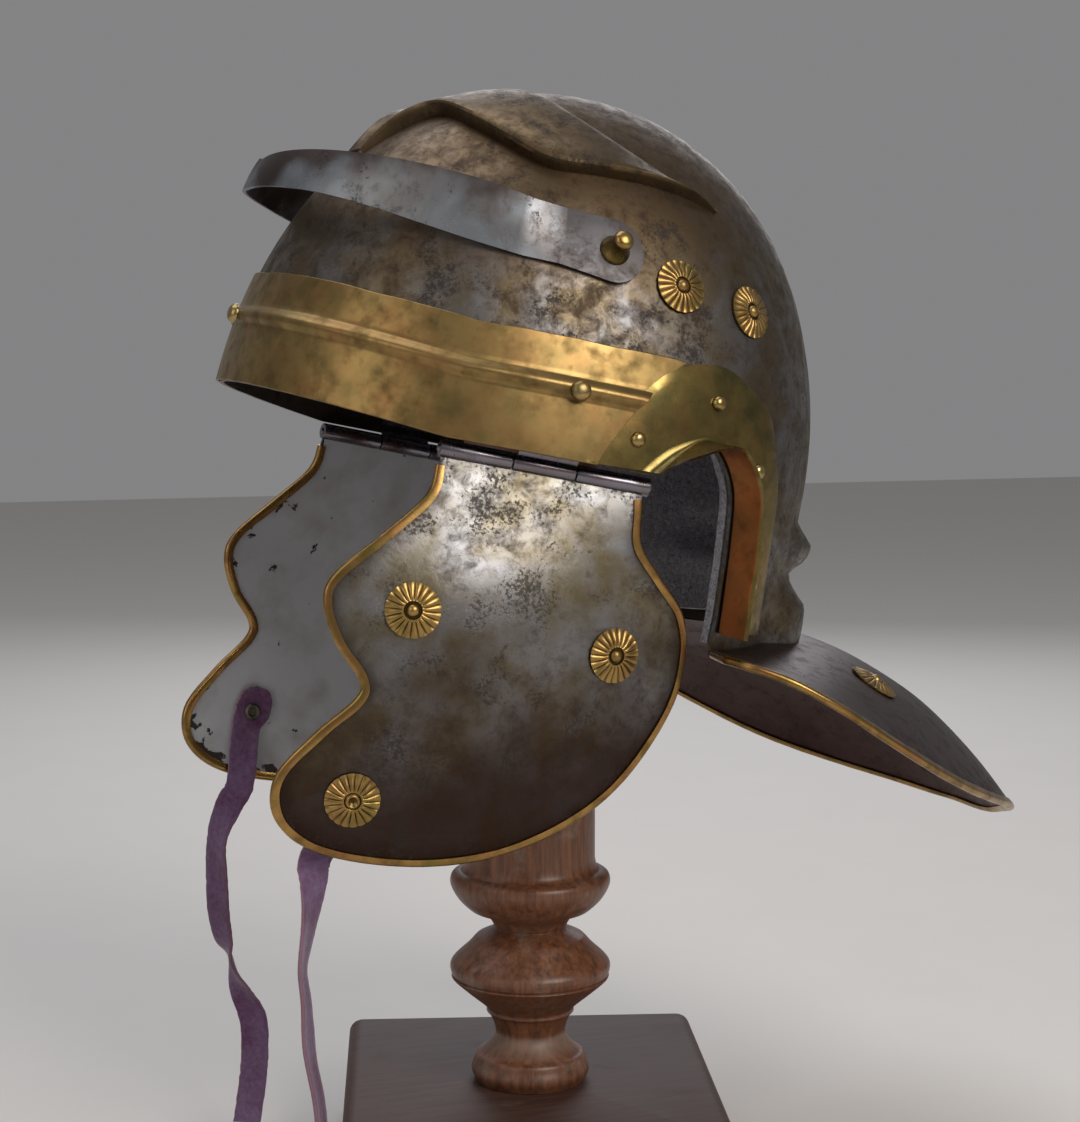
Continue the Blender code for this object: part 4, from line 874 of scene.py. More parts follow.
@dataclass
class EarForm:
    """The arched edge over each ear and the outline of the plate round it, in the side view."""

    bowl: BowlForm
    inner_x: Curve = (0.119, 0.156, 0.193, 0.230, 0.272, 0.313, 0.350, 0.391, 0.424, 0.449, 0.469, 0.486, 0.498)
    inner_z: Curve = (0.038, 0.073, 0.101, 0.126, 0.142, 0.140, 0.119, 0.080, 0.028, -0.063, -0.154, -0.241, -0.312)
    outer_x: Curve = (-0.107, -0.050, 0.045, 0.115, 0.200, 0.280, 0.352, 0.430, 0.505, 0.590, 0.632, 0.665, 0.705)
    outer_z: Curve = (0.016, 0.119, 0.245, 0.301, 0.332, 0.343, 0.332, 0.301, 0.262, 0.124, 0.000, -0.150, -0.290)

    def edges(self, cuts: int) -> tuple[list[Vector], list[Vector]]:
        """The inner and the outer edge, from the front foot to the rear foot."""
        wide, tall = self.bowl.brow_length, self.bowl.height
        inner = [(x * wide, 0, z * tall) for x, z in zip(self.inner_x, self.inner_z)]
        outer = [(x * wide, 0, z * tall) for x, z in zip(self.outer_x, self.outer_z)]
        return spline(inner, cuts), spline(outer, cuts)

    def arch(self) -> tuple[list[float], list[float]]:
        """The inner edge's places in plan at the rim's size, and its levels."""
        edge, _ = self.edges(6)
        return [p.x / self.bowl.size(p.z, self.bowl.power(p.x)) for p in edge], [p.z for p in edge]


@dataclass
class SkullBowl:
    """The bowl with its ribbed nape, and the two eyebrows forged up from it."""

    form: BowlForm
    ear: EarForm
    guard: GuardForm
    rim_front: float = 0.0005
    rim_hinge: float = -0.0017
    rim_ear: float = 0.0042
    hinge_front: float = -0.0595
    split: float = 0.036
    crown_power: float = 2.12
    eyebrow_height: float = 0.0062
    eyebrow_root: float = -0.0011
    low_x: Curve = (-0.780, -0.690, -0.610, -0.545, -0.446, -0.333, -0.181, 0.015, 0.130, 0.225)
    low_y: Curve = (0.090, 0.130, 0.210, 0.402, 0.569, 0.670, 0.699, 0.690, 0.672, 0.652)
    high_x: Curve = (-0.765, -0.640, -0.520, -0.430, -0.355, -0.270, -0.165, -0.010, 0.110, 0.225)
    high_y: Curve = (0.030, 0.035, 0.065, 0.130, 0.225, 0.435, 0.560, 0.642, 0.660, 0.640)
    end_shares: Curve = (0.35, 0.9, 1.0, 1.0, 1.0, 1.0, 1.0, 0.95, 0.65, 0.12)
    cross_shares: Curve = (0.0, 0.015, 0.04, 0.08, 0.14, 0.22, 0.32, 0.44, 0.56, 0.68, 0.79, 0.88, 0.94, 0.975, 1.0)
    cross_heights: Curve = (0.66, 0.88, 0.98, 1.0, 0.96, 0.88, 0.79, 0.70, 0.62, 0.55, 0.49, 0.44, 0.40, 0.36, 0.22)

    def rim(self, x: float) -> float:
        """Height of the rim's lower edge in front of the ear."""
        front, ear = -self.form.brow_length, self.ear.inner_x[0] * self.form.brow_length
        if x < self.hinge_front:
            return self.rim_front + (self.rim_hinge - self.rim_front) * share(x, front, self.hinge_front)
        return self.rim_hinge + (self.rim_ear - self.rim_hinge) * share(x, self.hinge_front, ear)

    def foot_reader(self) -> Callable[[float], float]:
        """A function from a column's angle to the height where the wall ends there."""
        form = self.form
        plan, levels = self.ear.arch()

        def foot(angle: float) -> float:
            """Where the wall ends at an angle from the brow."""
            low = form.ring(angle, 0.0, 0.0)
            if low.x < plan[0]:
                return self.rim(low.x)
            if low.x > plan[-1]:
                out = form.ring(angle, -form.nape_depth, 0.0)
                return self.guard.level(out.x, out.y) - GAP
            return float(np.interp(low.x, plan, levels))

        return foot

    def angles(self) -> list[float]:
        """The columns' angles, closer together round the ears."""
        form = self.form

        def angle_of(x: float) -> float:
            """The angle of a place along the helmet."""
            cosine = (abs(x) / form.reach(x)) ** (form.plan_power / 2)
            return math.acos(cosine if x < 0 else -cosine)

        start, end = (angle_of(self.ear.inner_x[k] * form.brow_length) for k in (0, -1))
        nape = end + 1e-4
        half = [start * k / 58 for k in range(58)] + [start + (end - start) * k / 44 for k in range(44)]
        half += [nape + (math.pi - nape) * k / 44 for k in range(45)]
        return half + [2 * math.pi - a for a in half[-2:0:-1]]

    def rows(self, offset: float, foot: Callable[[float], float], swell_share: float = 1.0) -> Grid:
        """Rows of points of a shell.

        Args:
            offset: how far it lies outside the wall.
            foot: its lower edge's height at an angle.
            swell_share: how much of the nape's ribs it follows.

        Returns:
            The rows, from the crown to the lower edge.
        """
        form, angles = self.form, self.angles()
        climbs = [math.radians(90 * (1 - k / 40)) for k in range(1, 41)]
        levels = [form.height * math.sin(c) ** (2 / self.crown_power) for c in climbs]
        crown = Vector((0, 0, form.height + offset))
        grid: Grid = [[crown.copy() for _ in angles]]
        grid += [[form.ring(a, z, offset) for a in angles] for z in levels if z > self.split + 0.0015]
        for t in (k / 30 for k in range(31)):
            grid.append([form.ring(a, self.split + (foot(a) - self.split) * t, offset, swell_share) for a in angles])
        return grid

    def eyebrow(self, side: Side) -> tuple[Grid, Grid]:
        """An eyebrow's upper face and its root inside the wall."""
        form = self.form
        lows, highs = (
            spline([(x * form.brow_length, y * form.half_width, e) for x, y, e in zip(xs, ys, self.end_shares)], 12)
            for xs, ys in ((self.low_x, self.low_y), (self.high_x, self.high_y))
        )
        top, root = [], []
        for low, high in zip(lows, highs):
            points = [low.lerp(high, t) for t in self.cross_shares]
            lift = self.eyebrow_height * max(low.z, 0.05)
            top.append([form.top(p.x, p.y * side.value, lift * h) for p, h in zip(points, self.cross_heights)])
            root.append([form.top(p.x, p.y * side.value, self.eyebrow_root) for p in points])
        return top, root

    def build(self, maker: Maker) -> None:
        """Make the bowl and its eyebrows."""
        foot = self.foot_reader()
        shell = wall(self.rows(0.0, foot), self.rows(-self.form.thickness, foot), wrap=True, inner_slot=1)
        maker.piece("bowl", shell, Finish.BOWL, Finish.INSIDE, node="skull_bowl")
        for side in Side:
            maker.piece(f"eyebrow_{side.word}", wall(*self.eyebrow(side)), Finish.BROW, angle=28)


@dataclass
class Lining:
    """The felt inside the bowl, with a ragged edge at the ears."""

    bowl: SkullBowl
    thickness: float = 0.003
    gap: float = 0.0012
    front_edge: float = 0.021
    guard_gap: float = 0.0025
    swell_share: float = 0.5
    ragged: float = 0.0012

    def foot_reader(self) -> Callable[[float], float]:
        """A function from a column's angle to the height where the felt ends there."""
        form = self.bowl.form
        plan, levels = self.bowl.ear.arch()
        peak = plan[levels.index(max(levels))]

        def foot(angle: float) -> float:
            """Where the felt ends at an angle from the brow."""
            low = form.ring(angle, 0.0, 0.0)
            fringe = uneven(low, 0.004, self.ragged, 5.0) + uneven(low, 0.0016, 0.5 * self.ragged, 9.0)
            if low.x < peak:
                return self.front_edge + fringe
            if low.x > plan[-1]:
                out = form.ring(angle, -form.nape_depth, 0.0)
                return self.bowl.guard.level(out.x, out.y) + self.guard_gap
            return min(float(np.interp(low.x, plan, levels)), self.front_edge) + fringe

        return foot

    def build(self, maker: Maker) -> None:
        """Make the lining."""
        foot = self.foot_reader()
        inset = self.bowl.form.thickness + self.gap
        outer = self.bowl.rows(-inset, foot, self.swell_share)
        inner = self.bowl.rows(-inset - self.thickness, foot, self.swell_share)
        for row in inner[3:]:
            for point in row:
                point += point.normalized() * uneven(point, 0.005, 0.0004, 1.0)
        maker.piece("lining", wall(outer, inner, wrap=True), Finish.FELT, node="felt_lining", angle=60)


@dataclass
class Edging:
    """A folded brass strip over a plate's edge."""

    plate: float = 0.0016
    wall: float = 0.0006
    depth: float = 0.0021
    slack: float = 0.0001

    def mesh(self, points: Sequence[Vector], outs: Sequence[Vector], normals: Sequence[Vector]) -> Mesh:
        """Sweep the strip's section along a plate's edge.

        Args:
            points: points halfway through the plate, along its edge.
            outs: the outward direction in the plate at each.
            normals: the plate's normal at each.

        Returns:
            The strip's mesh.
        """
        half = self.plate / 2 + self.slack
        out, nose = half + self.wall, 2 * self.slack + 1.7 * self.wall
        section = [(-self.depth, half), (self.slack, half), (self.slack, -half), (-self.depth, -half)]
        section += [(-self.depth, -out), (-0.6 * self.depth, -1.06 * out), (-0.1 * self.depth, -out)]
        turns = [math.radians(-75 + 25 * k) for k in range(7)]
        section += [(nose * math.cos(turn), 0.98 * out * math.sin(turn)) for turn in turns]
        section += [(-0.1 * self.depth, out), (-0.6 * self.depth, 1.06 * out), (-self.depth, out)]
        bm = bmesh.new()
        rows = []
        for point, away, normal in zip(points, outs, normals):
            wave = 1 + uneven(point, 0.008, 0.10)
            rows.append([bm.verts.new(point + away * b * wave + normal * n * wave) for b, n in section])
        skin(bm, rows, True)
        for end in (rows[0], rows[-1]):
            bm.faces.new(end)
        return bm


@dataclass
class Rosette:
    """A pressed brass disc with twenty flutes, held by a domed rivet or by an eyelet."""

    radius: float = 0.0098
    height: float = 0.0021
    flutes: int = 20
    eyelet: bool = False
    shares: Curve = (
        0.0, 0.06, 0.12, 0.17, 0.205, 0.225, 0.25, 0.27, 0.30, 0.335, 0.37, 0.42, 0.5, 0.6, 0.7, 0.79, 0.87, 0.93,
        0.975, 1.0,
    )
    boss: float = 0.32
    rim_dirt: float = 0.6

    def relief(self, r: float, lobe: float) -> tuple[float, float]:
        """Height and dirt of the face.

        Args:
            r: share of the radius.
            lobe: 0 between two flutes, 1 on a flute's crest.

        Returns:
            The height, and how much dirt lies there.
        """
        if r >= self.boss:
            flute = smooth(r, 0.33, 0.47)
            z = 0.95 - 0.62 * smooth(r, 0.45, 1.02) - 0.28 * flute * (1 - lobe) * (1 - 0.35 * smooth(r, 0.8, 1.0))
            return self.height * z, 0.6 * flute * (1 - lobe) ** 1.7
        if self.eyelet:
            z = 0.62 + 0.62 * smooth(r, 0.08, 0.2) - 0.45 * smooth(r, 0.21, 0.31)
            return self.height * z, min(1 - smooth(r, 0.06, 0.16) + smooth(r, 0.24, 0.30), 1.0)
        return self.height * (0.62 + 0.95 * math.sqrt(max(1 - (r / 0.235) ** 2, 0.0))), smooth(r, 0.2, 0.27)

    def build(self, maker: Maker, node: str, place: Matrix, body: Body = Body.HELMET) -> None:
        """Make the rosette in a frame with its face along Z."""
        bm = bmesh.new()
        steps = self.flutes * 10
        dirt: list[float] = []
        rows = []
        for r in self.shares:
            row = []
            for turn in (2 * math.pi * k / steps for k in range(steps)):
                lobe = abs(math.cos(self.flutes * turn / 2)) ** 0.62
                z, held = self.relief(r, lobe)
                wide = self.radius * r * (1 + (0.022 * lobe - 0.012) * smooth(r, 0.85, 1.0))
                row.append((wide * math.cos(turn), wide * math.sin(turn), z))
                dirt.append(held)
                if r == 0:
                    break
            rows.append([bm.verts.new(p) for p in row] * (steps // len(row)))
        rim = [bm.verts.new((vert.co.x, vert.co.y, 0.0)) for vert in rows[-1]]
        dirt += [self.rim_dirt] * steps
        skin(bm, [*rows, rim], True)
        bm.faces.new(rim)
        marks = {"recess": dirt}
        maker.piece(f"{node}_fluted", bm, Finish.ROSETTE, node=node, body=body, place=place, angle=60, marks=marks)


@dataclass
class Rivet:
    """A round-headed rivet."""

    radius: float = 0.0038
    height: float = 0.003

    def build(self, maker: Maker, node: str, place: Matrix) -> None:
        """Make the rivet in a frame with its head along Z."""
        dome = [math.radians(a) for a in range(12, 90, 13)]
        profile = [(0.0, 0.0), (1.0, 0.0), *((math.cos(a) ** 0.8, math.sin(a)) for a in dome), (0.0, 1.0)]
        head = turned([(r * self.radius, h * self.height) for r, h in profile], 32)
        maker.piece(f"{node}_head", head, Finish.RIVET, node=node, place=place)


@dataclass
class NeckGuard:
    """The fan-shaped plate behind the nape, with its edging and two rosettes."""

    form: GuardForm
    ear: EarForm
    root: float = -0.0008
    rosette_at: tuple[float, float] = (0.557, 0.560)

    def grid(self) -> Grid:
        """Points of the upper face, in rows from the foot of the nape out to the edge."""
        form, bowl = self.form, self.form.bowl
        outline = form.outline(6)
        foot = self.ear.inner_x[-1] * bowl.brow_length / bowl.nape_length
        edge_angle = math.acos(foot ** (bowl.plan_power / 2))
        found: Grid = []
        for k, out in enumerate(outline):
            turn = edge_angle * (2 * k / (len(outline) - 1) - 1)
            near = bowl.ring(math.pi - turn, -bowl.nape_depth, self.root)
            near.z = 0.0
            row = []
            for j in range(27):
                p = near.lerp(out, j / 26)
                p.z = form.level(p.x, p.y)
                row.append(p + form.normal(p.x, p.y) * uneven(p, 0.03, 0.0005, 2.0) * smooth(j, 2, 8))
            found.append(row)
        return found

    def build(self, maker: Maker) -> None:
        """Make the plate, its edging and its rosettes."""
        form, top = self.form, self.grid()
        under = [[p - form.normal(p.x, p.y) * form.thickness for p in row] for row in top]
        maker.piece("guard_plate", wall(top, under), Finish.GUARD)
        edge = top[0][6:-1] + [row[-1] for row in top] + top[-1][-2:5:-1]
        normals = [form.normal(p.x, p.y) for p in edge]
        points = [p - n * form.thickness / 2 for p, n in zip(edge, normals)]
        spans = zip([edge[0], *edge], [*edge[1:], edge[-1]])
        outs = [(after - before).cross(n).normalized() for (before, after), n in zip(spans, normals)]
        strip = Edging(form.thickness).mesh(points, outs, normals)
        maker.piece("guard_edging_strip", strip, Finish.EDGING, node="guard_edging", angle=60)
        for side in Side:
            x, y = self.rosette_at[0] * form.reach, side.value * self.rosette_at[1] * form.half_width
            normal = form.normal(x, y)
            point = Vector((x, y, form.level(x, y))) + normal * 1.5 * SEAT
            Rosette().build(maker, f"guard_rosette_{side.word}", seat(point, normal, Vector((1, 0, 0))))


@dataclass
class BrowBand:
    """The brass band round the brow with a raised bead, and its three rivets."""

    bowl: SkullBowl
    height: float = 0.0425
    thickness: float = 0.001
    bead: float = 0.0024
    bead_level: float = 0.0255
    bead_width: float = 0.0075
    rivet_x: float = -0.165
    columns: int = 201
    overlap: float = 0.006
    low_levels: Curve = (0.0, 0.0012, 0.006, 0.011, 0.016, 0.019, 0.0205)
    bead_steps: Curve = (-1, -0.85, -0.7, -0.5, -0.25, 0, 0.25, 0.5, 0.7, 0.85, 1)
    high_levels: Curve = (0.031, 0.034, 0.038, 0.0415)

    def ends(self, level: float) -> float:
        """The angle where the band ends at a level, under the ear guard."""
        form = self.bowl.form
        _, outline = self.bowl.ear.edges(6)
        rising = outline[: len(outline) // 3 + 1]
        end_x = float(np.interp(level, [p.z for p in rising], [p.x for p in rising])) + self.overlap
        ratio = abs(end_x) / (form.reach(end_x) * form.size(level, form.brow_power))
        cosine = min(ratio, 1.0) ** (form.plan_power / 2)
        return math.acos(cosine if end_x < 0 else -cosine)

    def grids(self) -> tuple[Grid, Grid]:
        """The band's outer and inner points, in rows from its lower edge up."""
        form, half = self.bowl.form, self.bead_width / 2
        beads = [self.bead_level + half * t for t in self.bead_steps]
        levels = [*self.low_levels, *beads, *self.high_levels, self.height]
        outer, inner = [], []
        for level in levels:
            end = self.ends(level)
            rise = min(abs(level - self.bead_level) / half, 1.0)
            swell = self.bead * max(math.cos(rise * math.pi / 2), 0.0) ** 1.3
            outer.append([])
            inner.append([])
            for j in range(self.columns):
                angle = end * (2 * j / (self.columns - 1) - 1)
                foot = form.ring(angle, 0.0, 0.0)
                wavy = uneven(foot, 0.02, 0.0006) if level == self.height else 0.0
                here = form.ring(angle, self.bowl.rim(foot.x) + level + wavy, 0.0)
                out = Vector((here.x / form.reach(here.x) ** 2, here.y / form.half_width**2, 0)).normalized()
                dent = uneven(here, 0.025, 0.00014, 4.0)
                inner[-1].append(here + out * (GAP + 0.9 * swell))
                outer[-1].append(here + out * (GAP + self.thickness + swell + dent))
        return outer, inner

    def build(self, maker: Maker) -> None:
        """Make the band and its rivets."""
        form, over = self.bowl.form, GAP + self.thickness + self.bead
        maker.piece("band", wall(*self.grids()), Finish.BAND, node="brow_band", bevel=0.0003)
        for side in Side:
            place = seat(*form.side(self.rivet_x * form.brow_length, self.bead_level, side, over))
            Rivet().build(maker, f"band_rivet_{side.word}", place)
        front = -form.brow_length * form.size(self.bead_level, form.brow_power) - over
        place = seat(Vector((front, 0, self.bead_level)), Vector((-1, 0, 0)))
        Rivet().build(maker, "band_rivet_front", place)


@dataclass
class Peak:
    """The iron strip that stands off the brow, folded to a round tab at each side under a turned knob."""

    form: BowlForm
    reach: float = 0.1325
    half_width: float = 0.088
    thickness: float = 0.0014
    level: float = 0.0775
    side_height: float = 0.0205
    front_height: float = 0.0125
    lean: float = 0.0035
    bow: float = 0.003
    swell: float = 0.0005
    tab_radius: float = 0.0113
    knob_x: float = -0.132
    crease_x: float = -0.290
    knob_radius: float = 0.0045
    knob_height: float = 0.0095
    across: int = 9
    tab_turns: Curve = (89, 84, 76, 66, 54, 42, 28, 14, 0)
    tab_shares: Curve = (0.2, 0.4, 0.6, 0.8, 0.93, 1.0)
    knob_radii: Curve = (0, 1.25, 1.24, 1.14, 1.00, 0.90, 0.82, 0.78, 0.80, 0.82, 0.78, 0.66, 0.44, 0)
    knob_heights: Curve = (0, 0, 0.06, 0.16, 0.30, 0.45, 0.60, 0.72, 0.80, 0.88, 0.96, 1.05, 1.11, 1.14)

    def column(self, angle: float, last: float) -> tuple[list[Vector], Vector]:
        """The strip's points from its lower to its upper edge, and its outward side.

        Args:
            angle: how far from the front.
            last: the crease's angle.

        Returns:
            The points and the outward side.
        """
        x, y = -self.reach * math.cos(angle), self.half_width * math.sin(angle)
        t = smooth(-x, 0.45 * self.reach, self.reach)
        bow = self.bow * math.sin(math.pi * abs(angle) / last)
        height = self.side_height * (1 - t) + self.front_height * t + bow
        lean = self.lean * smooth(-x, 0.4 * self.reach, self.reach)
        out = Vector((x / self.reach**2, y / self.half_width**2, 0)).normalized()
        low = Vector((x, y, self.level + bow - height / 2))
        high = Vector((x, y, self.level + bow + height / 2)) - out * lean
        points = []
        for s in (k / (self.across - 1) for k in range(self.across)):
            dent = uneven(low.lerp(high, s), 0.03, 0.0005, 6.0)
            points.append(low.lerp(high, s) + out * (self.swell * math.sin(math.pi * s) + dent))
        return points, out

    def tab(self, x: float, offset: float, side: Side) -> list[Vector]:
        """The tab's points from its lower to its upper edge where it lies on the bowl."""
        knob = self.knob_x * self.form.brow_length
        if x <= knob:
            t = share(x, self.crease_x * self.form.brow_length, knob)
            half = self.side_height / 2 * (1 - t) + self.tab_radius * t
        else:
            half = math.sqrt(max(self.tab_radius**2 - (x - knob) ** 2, 1e-8))
        heights = [self.level + half * (2 * k / (self.across - 1) - 1) for k in range(self.across)]
        return [self.form.side(x, height, side, offset)[0] for height in heights]

    def build(self, maker: Maker) -> None:
        """Make the strip and its knobs."""
        knob, crease = self.knob_x * self.form.brow_length, self.crease_x * self.form.brow_length
        tab_x = [knob + self.tab_radius * math.sin(math.radians(a)) for a in self.tab_turns]
        tab_x += [knob + (crease - knob) * t for t in self.tab_shares]
        last = math.acos(-crease / self.reach) - 0.10
        strip = [self.column(last * (k / 40 - 1), last) for k in range(81)]
        outer = [points for points, _ in strip]
        inner = [[p - out * self.thickness for p in points] for points, out in strip]
        grids = []
        for middle, offset in ((outer, GAP + self.thickness), (inner, GAP)):
            left, right = ([self.tab(x, offset, side) for x in tab_x] for side in Side)
            grids.append(left + middle + right[::-1])
        # The tabs are darker than the strip
        darker_tabs = [1.0] * len(tab_x) + [0.0] * len(strip) + [1.0] * len(tab_x)
        marks = {"rim": [mark for mark in darker_tabs for _ in range(self.across)] * 2}
        maker.piece("peak_strip", wall(*grids), Finish.PEAK, node="peak", bevel=0.0003, marks=marks)
        profile = [(r * self.knob_radius, h * self.knob_height) for r, h in zip(self.knob_radii, self.knob_heights)]
        for side in Side:
            place = seat(*self.form.side(knob, self.level, side, GAP + self.thickness))
            node = f"peak_knob_{side.word}"
            maker.piece(f"{node}_turned", turned(profile, 40), Finish.KNOB, node=node, place=place, angle=60)


@dataclass
class EarGuard:
    """A brass plate round an ear, with a flange that stands out along its inner edge, and four rivets."""

    form: BowlForm
    ear: EarForm
    thickness: float = 0.001
    flange: float = 0.012
    lean: float = 0.55
    trim: float = 0.0003
    fold: float = 0.0022
    rivets: tuple[tuple[float, float], ...] = ((0.043, 0.105), (0.284, 0.250), (0.490, 0.116), (0.585, -0.168))
    plate_shares: Curve = (1.0, 0.97, 0.85, 0.7, 0.55, 0.4, 0.25, 0.14, 0.07)
    fold_shares: Curve = (0.0, 0.25, 0.5, 0.75, 1.0)
    flange_shares: Curve = (0.4, 0.6, 0.8, 0.93, 1.0)

    def row(self, ends: tuple[Vector, Vector], flare: float, side: Side, offset: float) -> list[Vector]:
        """A row of points from the plate's outer edge, round the fold, to the flange's lip.

        Args:
            ends: the inner and the outer edge's points.
            flare: how far the flange has opened, 0 at the front foot and 1 over the ear.
            side: the wearer's side.
            offset: how far the row lies outside the bowl.

        Returns:
            The points.
        """
        form = self.form
        across = (ends[1] - ends[0]).normalized()
        trim = ends[0] + across * self.trim
        row = []
        for t in self.plate_shares:
            p = trim.lerp(ends[1], t)
            dent = uneven(p, 0.018, 0.0005, 7.0) * smooth(t, 0.0, 0.3) if t < 1 else -self.trim
            row.append(form.side(p.x, p.z, side, offset + dent)[0])
        fold = self.fold * (1.6 - flare)
        corner_at = trim + across * (offset - GAP)
        start = corner_at + across * fold
        base, corner = (form.side(p.x, p.z, side, offset)[0] for p in (start, corner_at))
        away = Vector((self.lean, side.value * math.sqrt(1 - self.lean**2), 0)).normalized()
        for s in self.fold_shares:
            row.append(base.lerp(corner, s).lerp(corner.lerp(corner + away * fold, s), s))
        length = self.flange * (0.35 + 0.65 * flare)
        for s in self.flange_shares:
            p = corner + away * length * s
            row.append(p + across * uneven(p, 0.02, 0.0007, 2.0) * s)
        return row

    def grid(self, side: Side, offset: float) -> Grid:
        """A face of the guard, row by row from the front foot to the rear foot."""
        pairs = list(zip(*self.ear.edges(9)))
        return [self.row(ends, smooth(k / len(pairs), 0.0, 0.30), side, offset) for k, ends in enumerate(pairs)]

    def build(self, maker: Maker) -> None:
        """Make both ear guards."""
        form, over = self.form, GAP + self.thickness
        for side in Side:
            node = f"ear_guard_{side.word}"
            plate = wall(self.grid(side, over), self.grid(side, GAP), inner_slot=1)
            maker.piece(f"{node}_plate", plate, Finish.EAR, Finish.FLANGE, node=node, bevel=0.00025)
            for k, (x, z) in enumerate(self.rivets, 1):
                place = seat(*form.side(x * form.brow_length, z * form.height, side, over))
                Rivet(0.0029, 0.0024).build(maker, f"ear_rivet_{side.word}_{k}", place)


@dataclass
class SkullRosettes:
    """The two rosettes on each side of the bowl."""

    form: BowlForm
    spots: tuple[tuple[str, float, float], ...] = (("front", 0.097, 0.510), ("rear", 0.366, 0.509))

    def build(self, maker: Maker) -> None:
        """Make the four rosettes."""
        for side in Side:
            for spot, x, z in self.spots:
                place = seat(*self.form.side(x * self.form.brow_length, z * self.form.height, side, SEAT))
                Rosette().build(maker, f"skull_rosette_{side.word}_{spot}", place)


@dataclass
class Hinge:
    """The pinned hinge of a cheek piece: two outer knuckles on the cheek piece and the middle one on the bowl."""

    form: BowlForm
    length: float = 0.0765
    inset: float = 0.0052
    centre_share: float = -0.1745
    front_level: float = -0.0056
    rear_level: float = 0.0
    radius: float = 0.0033
    pin: float = 0.0013
    pin_end: float = 0.0008
    split: tuple[float, float] = (0.338, 0.645)
    slit: float = 0.006

    @property
    def centre_x(self) -> float:
        """The place of its middle along the helmet."""
        return self.centre_share * self.form.brow_length

    def ends(self, side: Side) -> tuple[Vector, Vector]:
        """The axis, from its front to its rear end."""
        places = (self.centre_x - self.length / 2, self.front_level), (self.centre_x + self.length / 2, self.rear_level)
        front, rear = (Vector((x, side.value * (self.form.half_y(x, 0) - self.inset), z)) for x, z in places)
        return front, rear

    def barrel(self, side: Side, start: float, end: float, radius: float, grow: float = 0.0) -> Mesh:
        """A barrel between two shares of the axis, longer by grow at each end."""
        a, b = self.ends(side)
        step = (b - a).normalized() * grow
        return rod(a.lerp(b, start) - step, a.lerp(b, end) + step, radius)

    def build(self, maker: Maker) -> None:
        """Make the knuckles and the pins; the leaves keep their solids and take the iron's finish."""
        first, second = self.split
        for side in Side:
            for k, span in enumerate(((0.0, first), (second, 1.0))):
                knuckle = self.barrel(side, *span, self.radius)
                maker.piece(f"cheek_knuckle_{side.word}_{k}", knuckle, Finish.HINGE, body=side.cheek)
            middle = self.barrel(side, first + self.slit, second - self.slit, self.radius)
            maker.piece(f"leaf_knuckle_{side.word}", middle, Finish.HINGE)
            pin, node = self.barrel(side, 0.0, 1.0, self.pin, self.pin_end), f"hinge_pin_{side.word}"
            maker.piece(f"{node}_rod", pin, Finish.HINGE, node=node)
            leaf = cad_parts[f"hinge_leaf_{side.word}"].data
            leaf.materials.clear()
            leaf.materials.append(maker.material(Finish.HINGE))


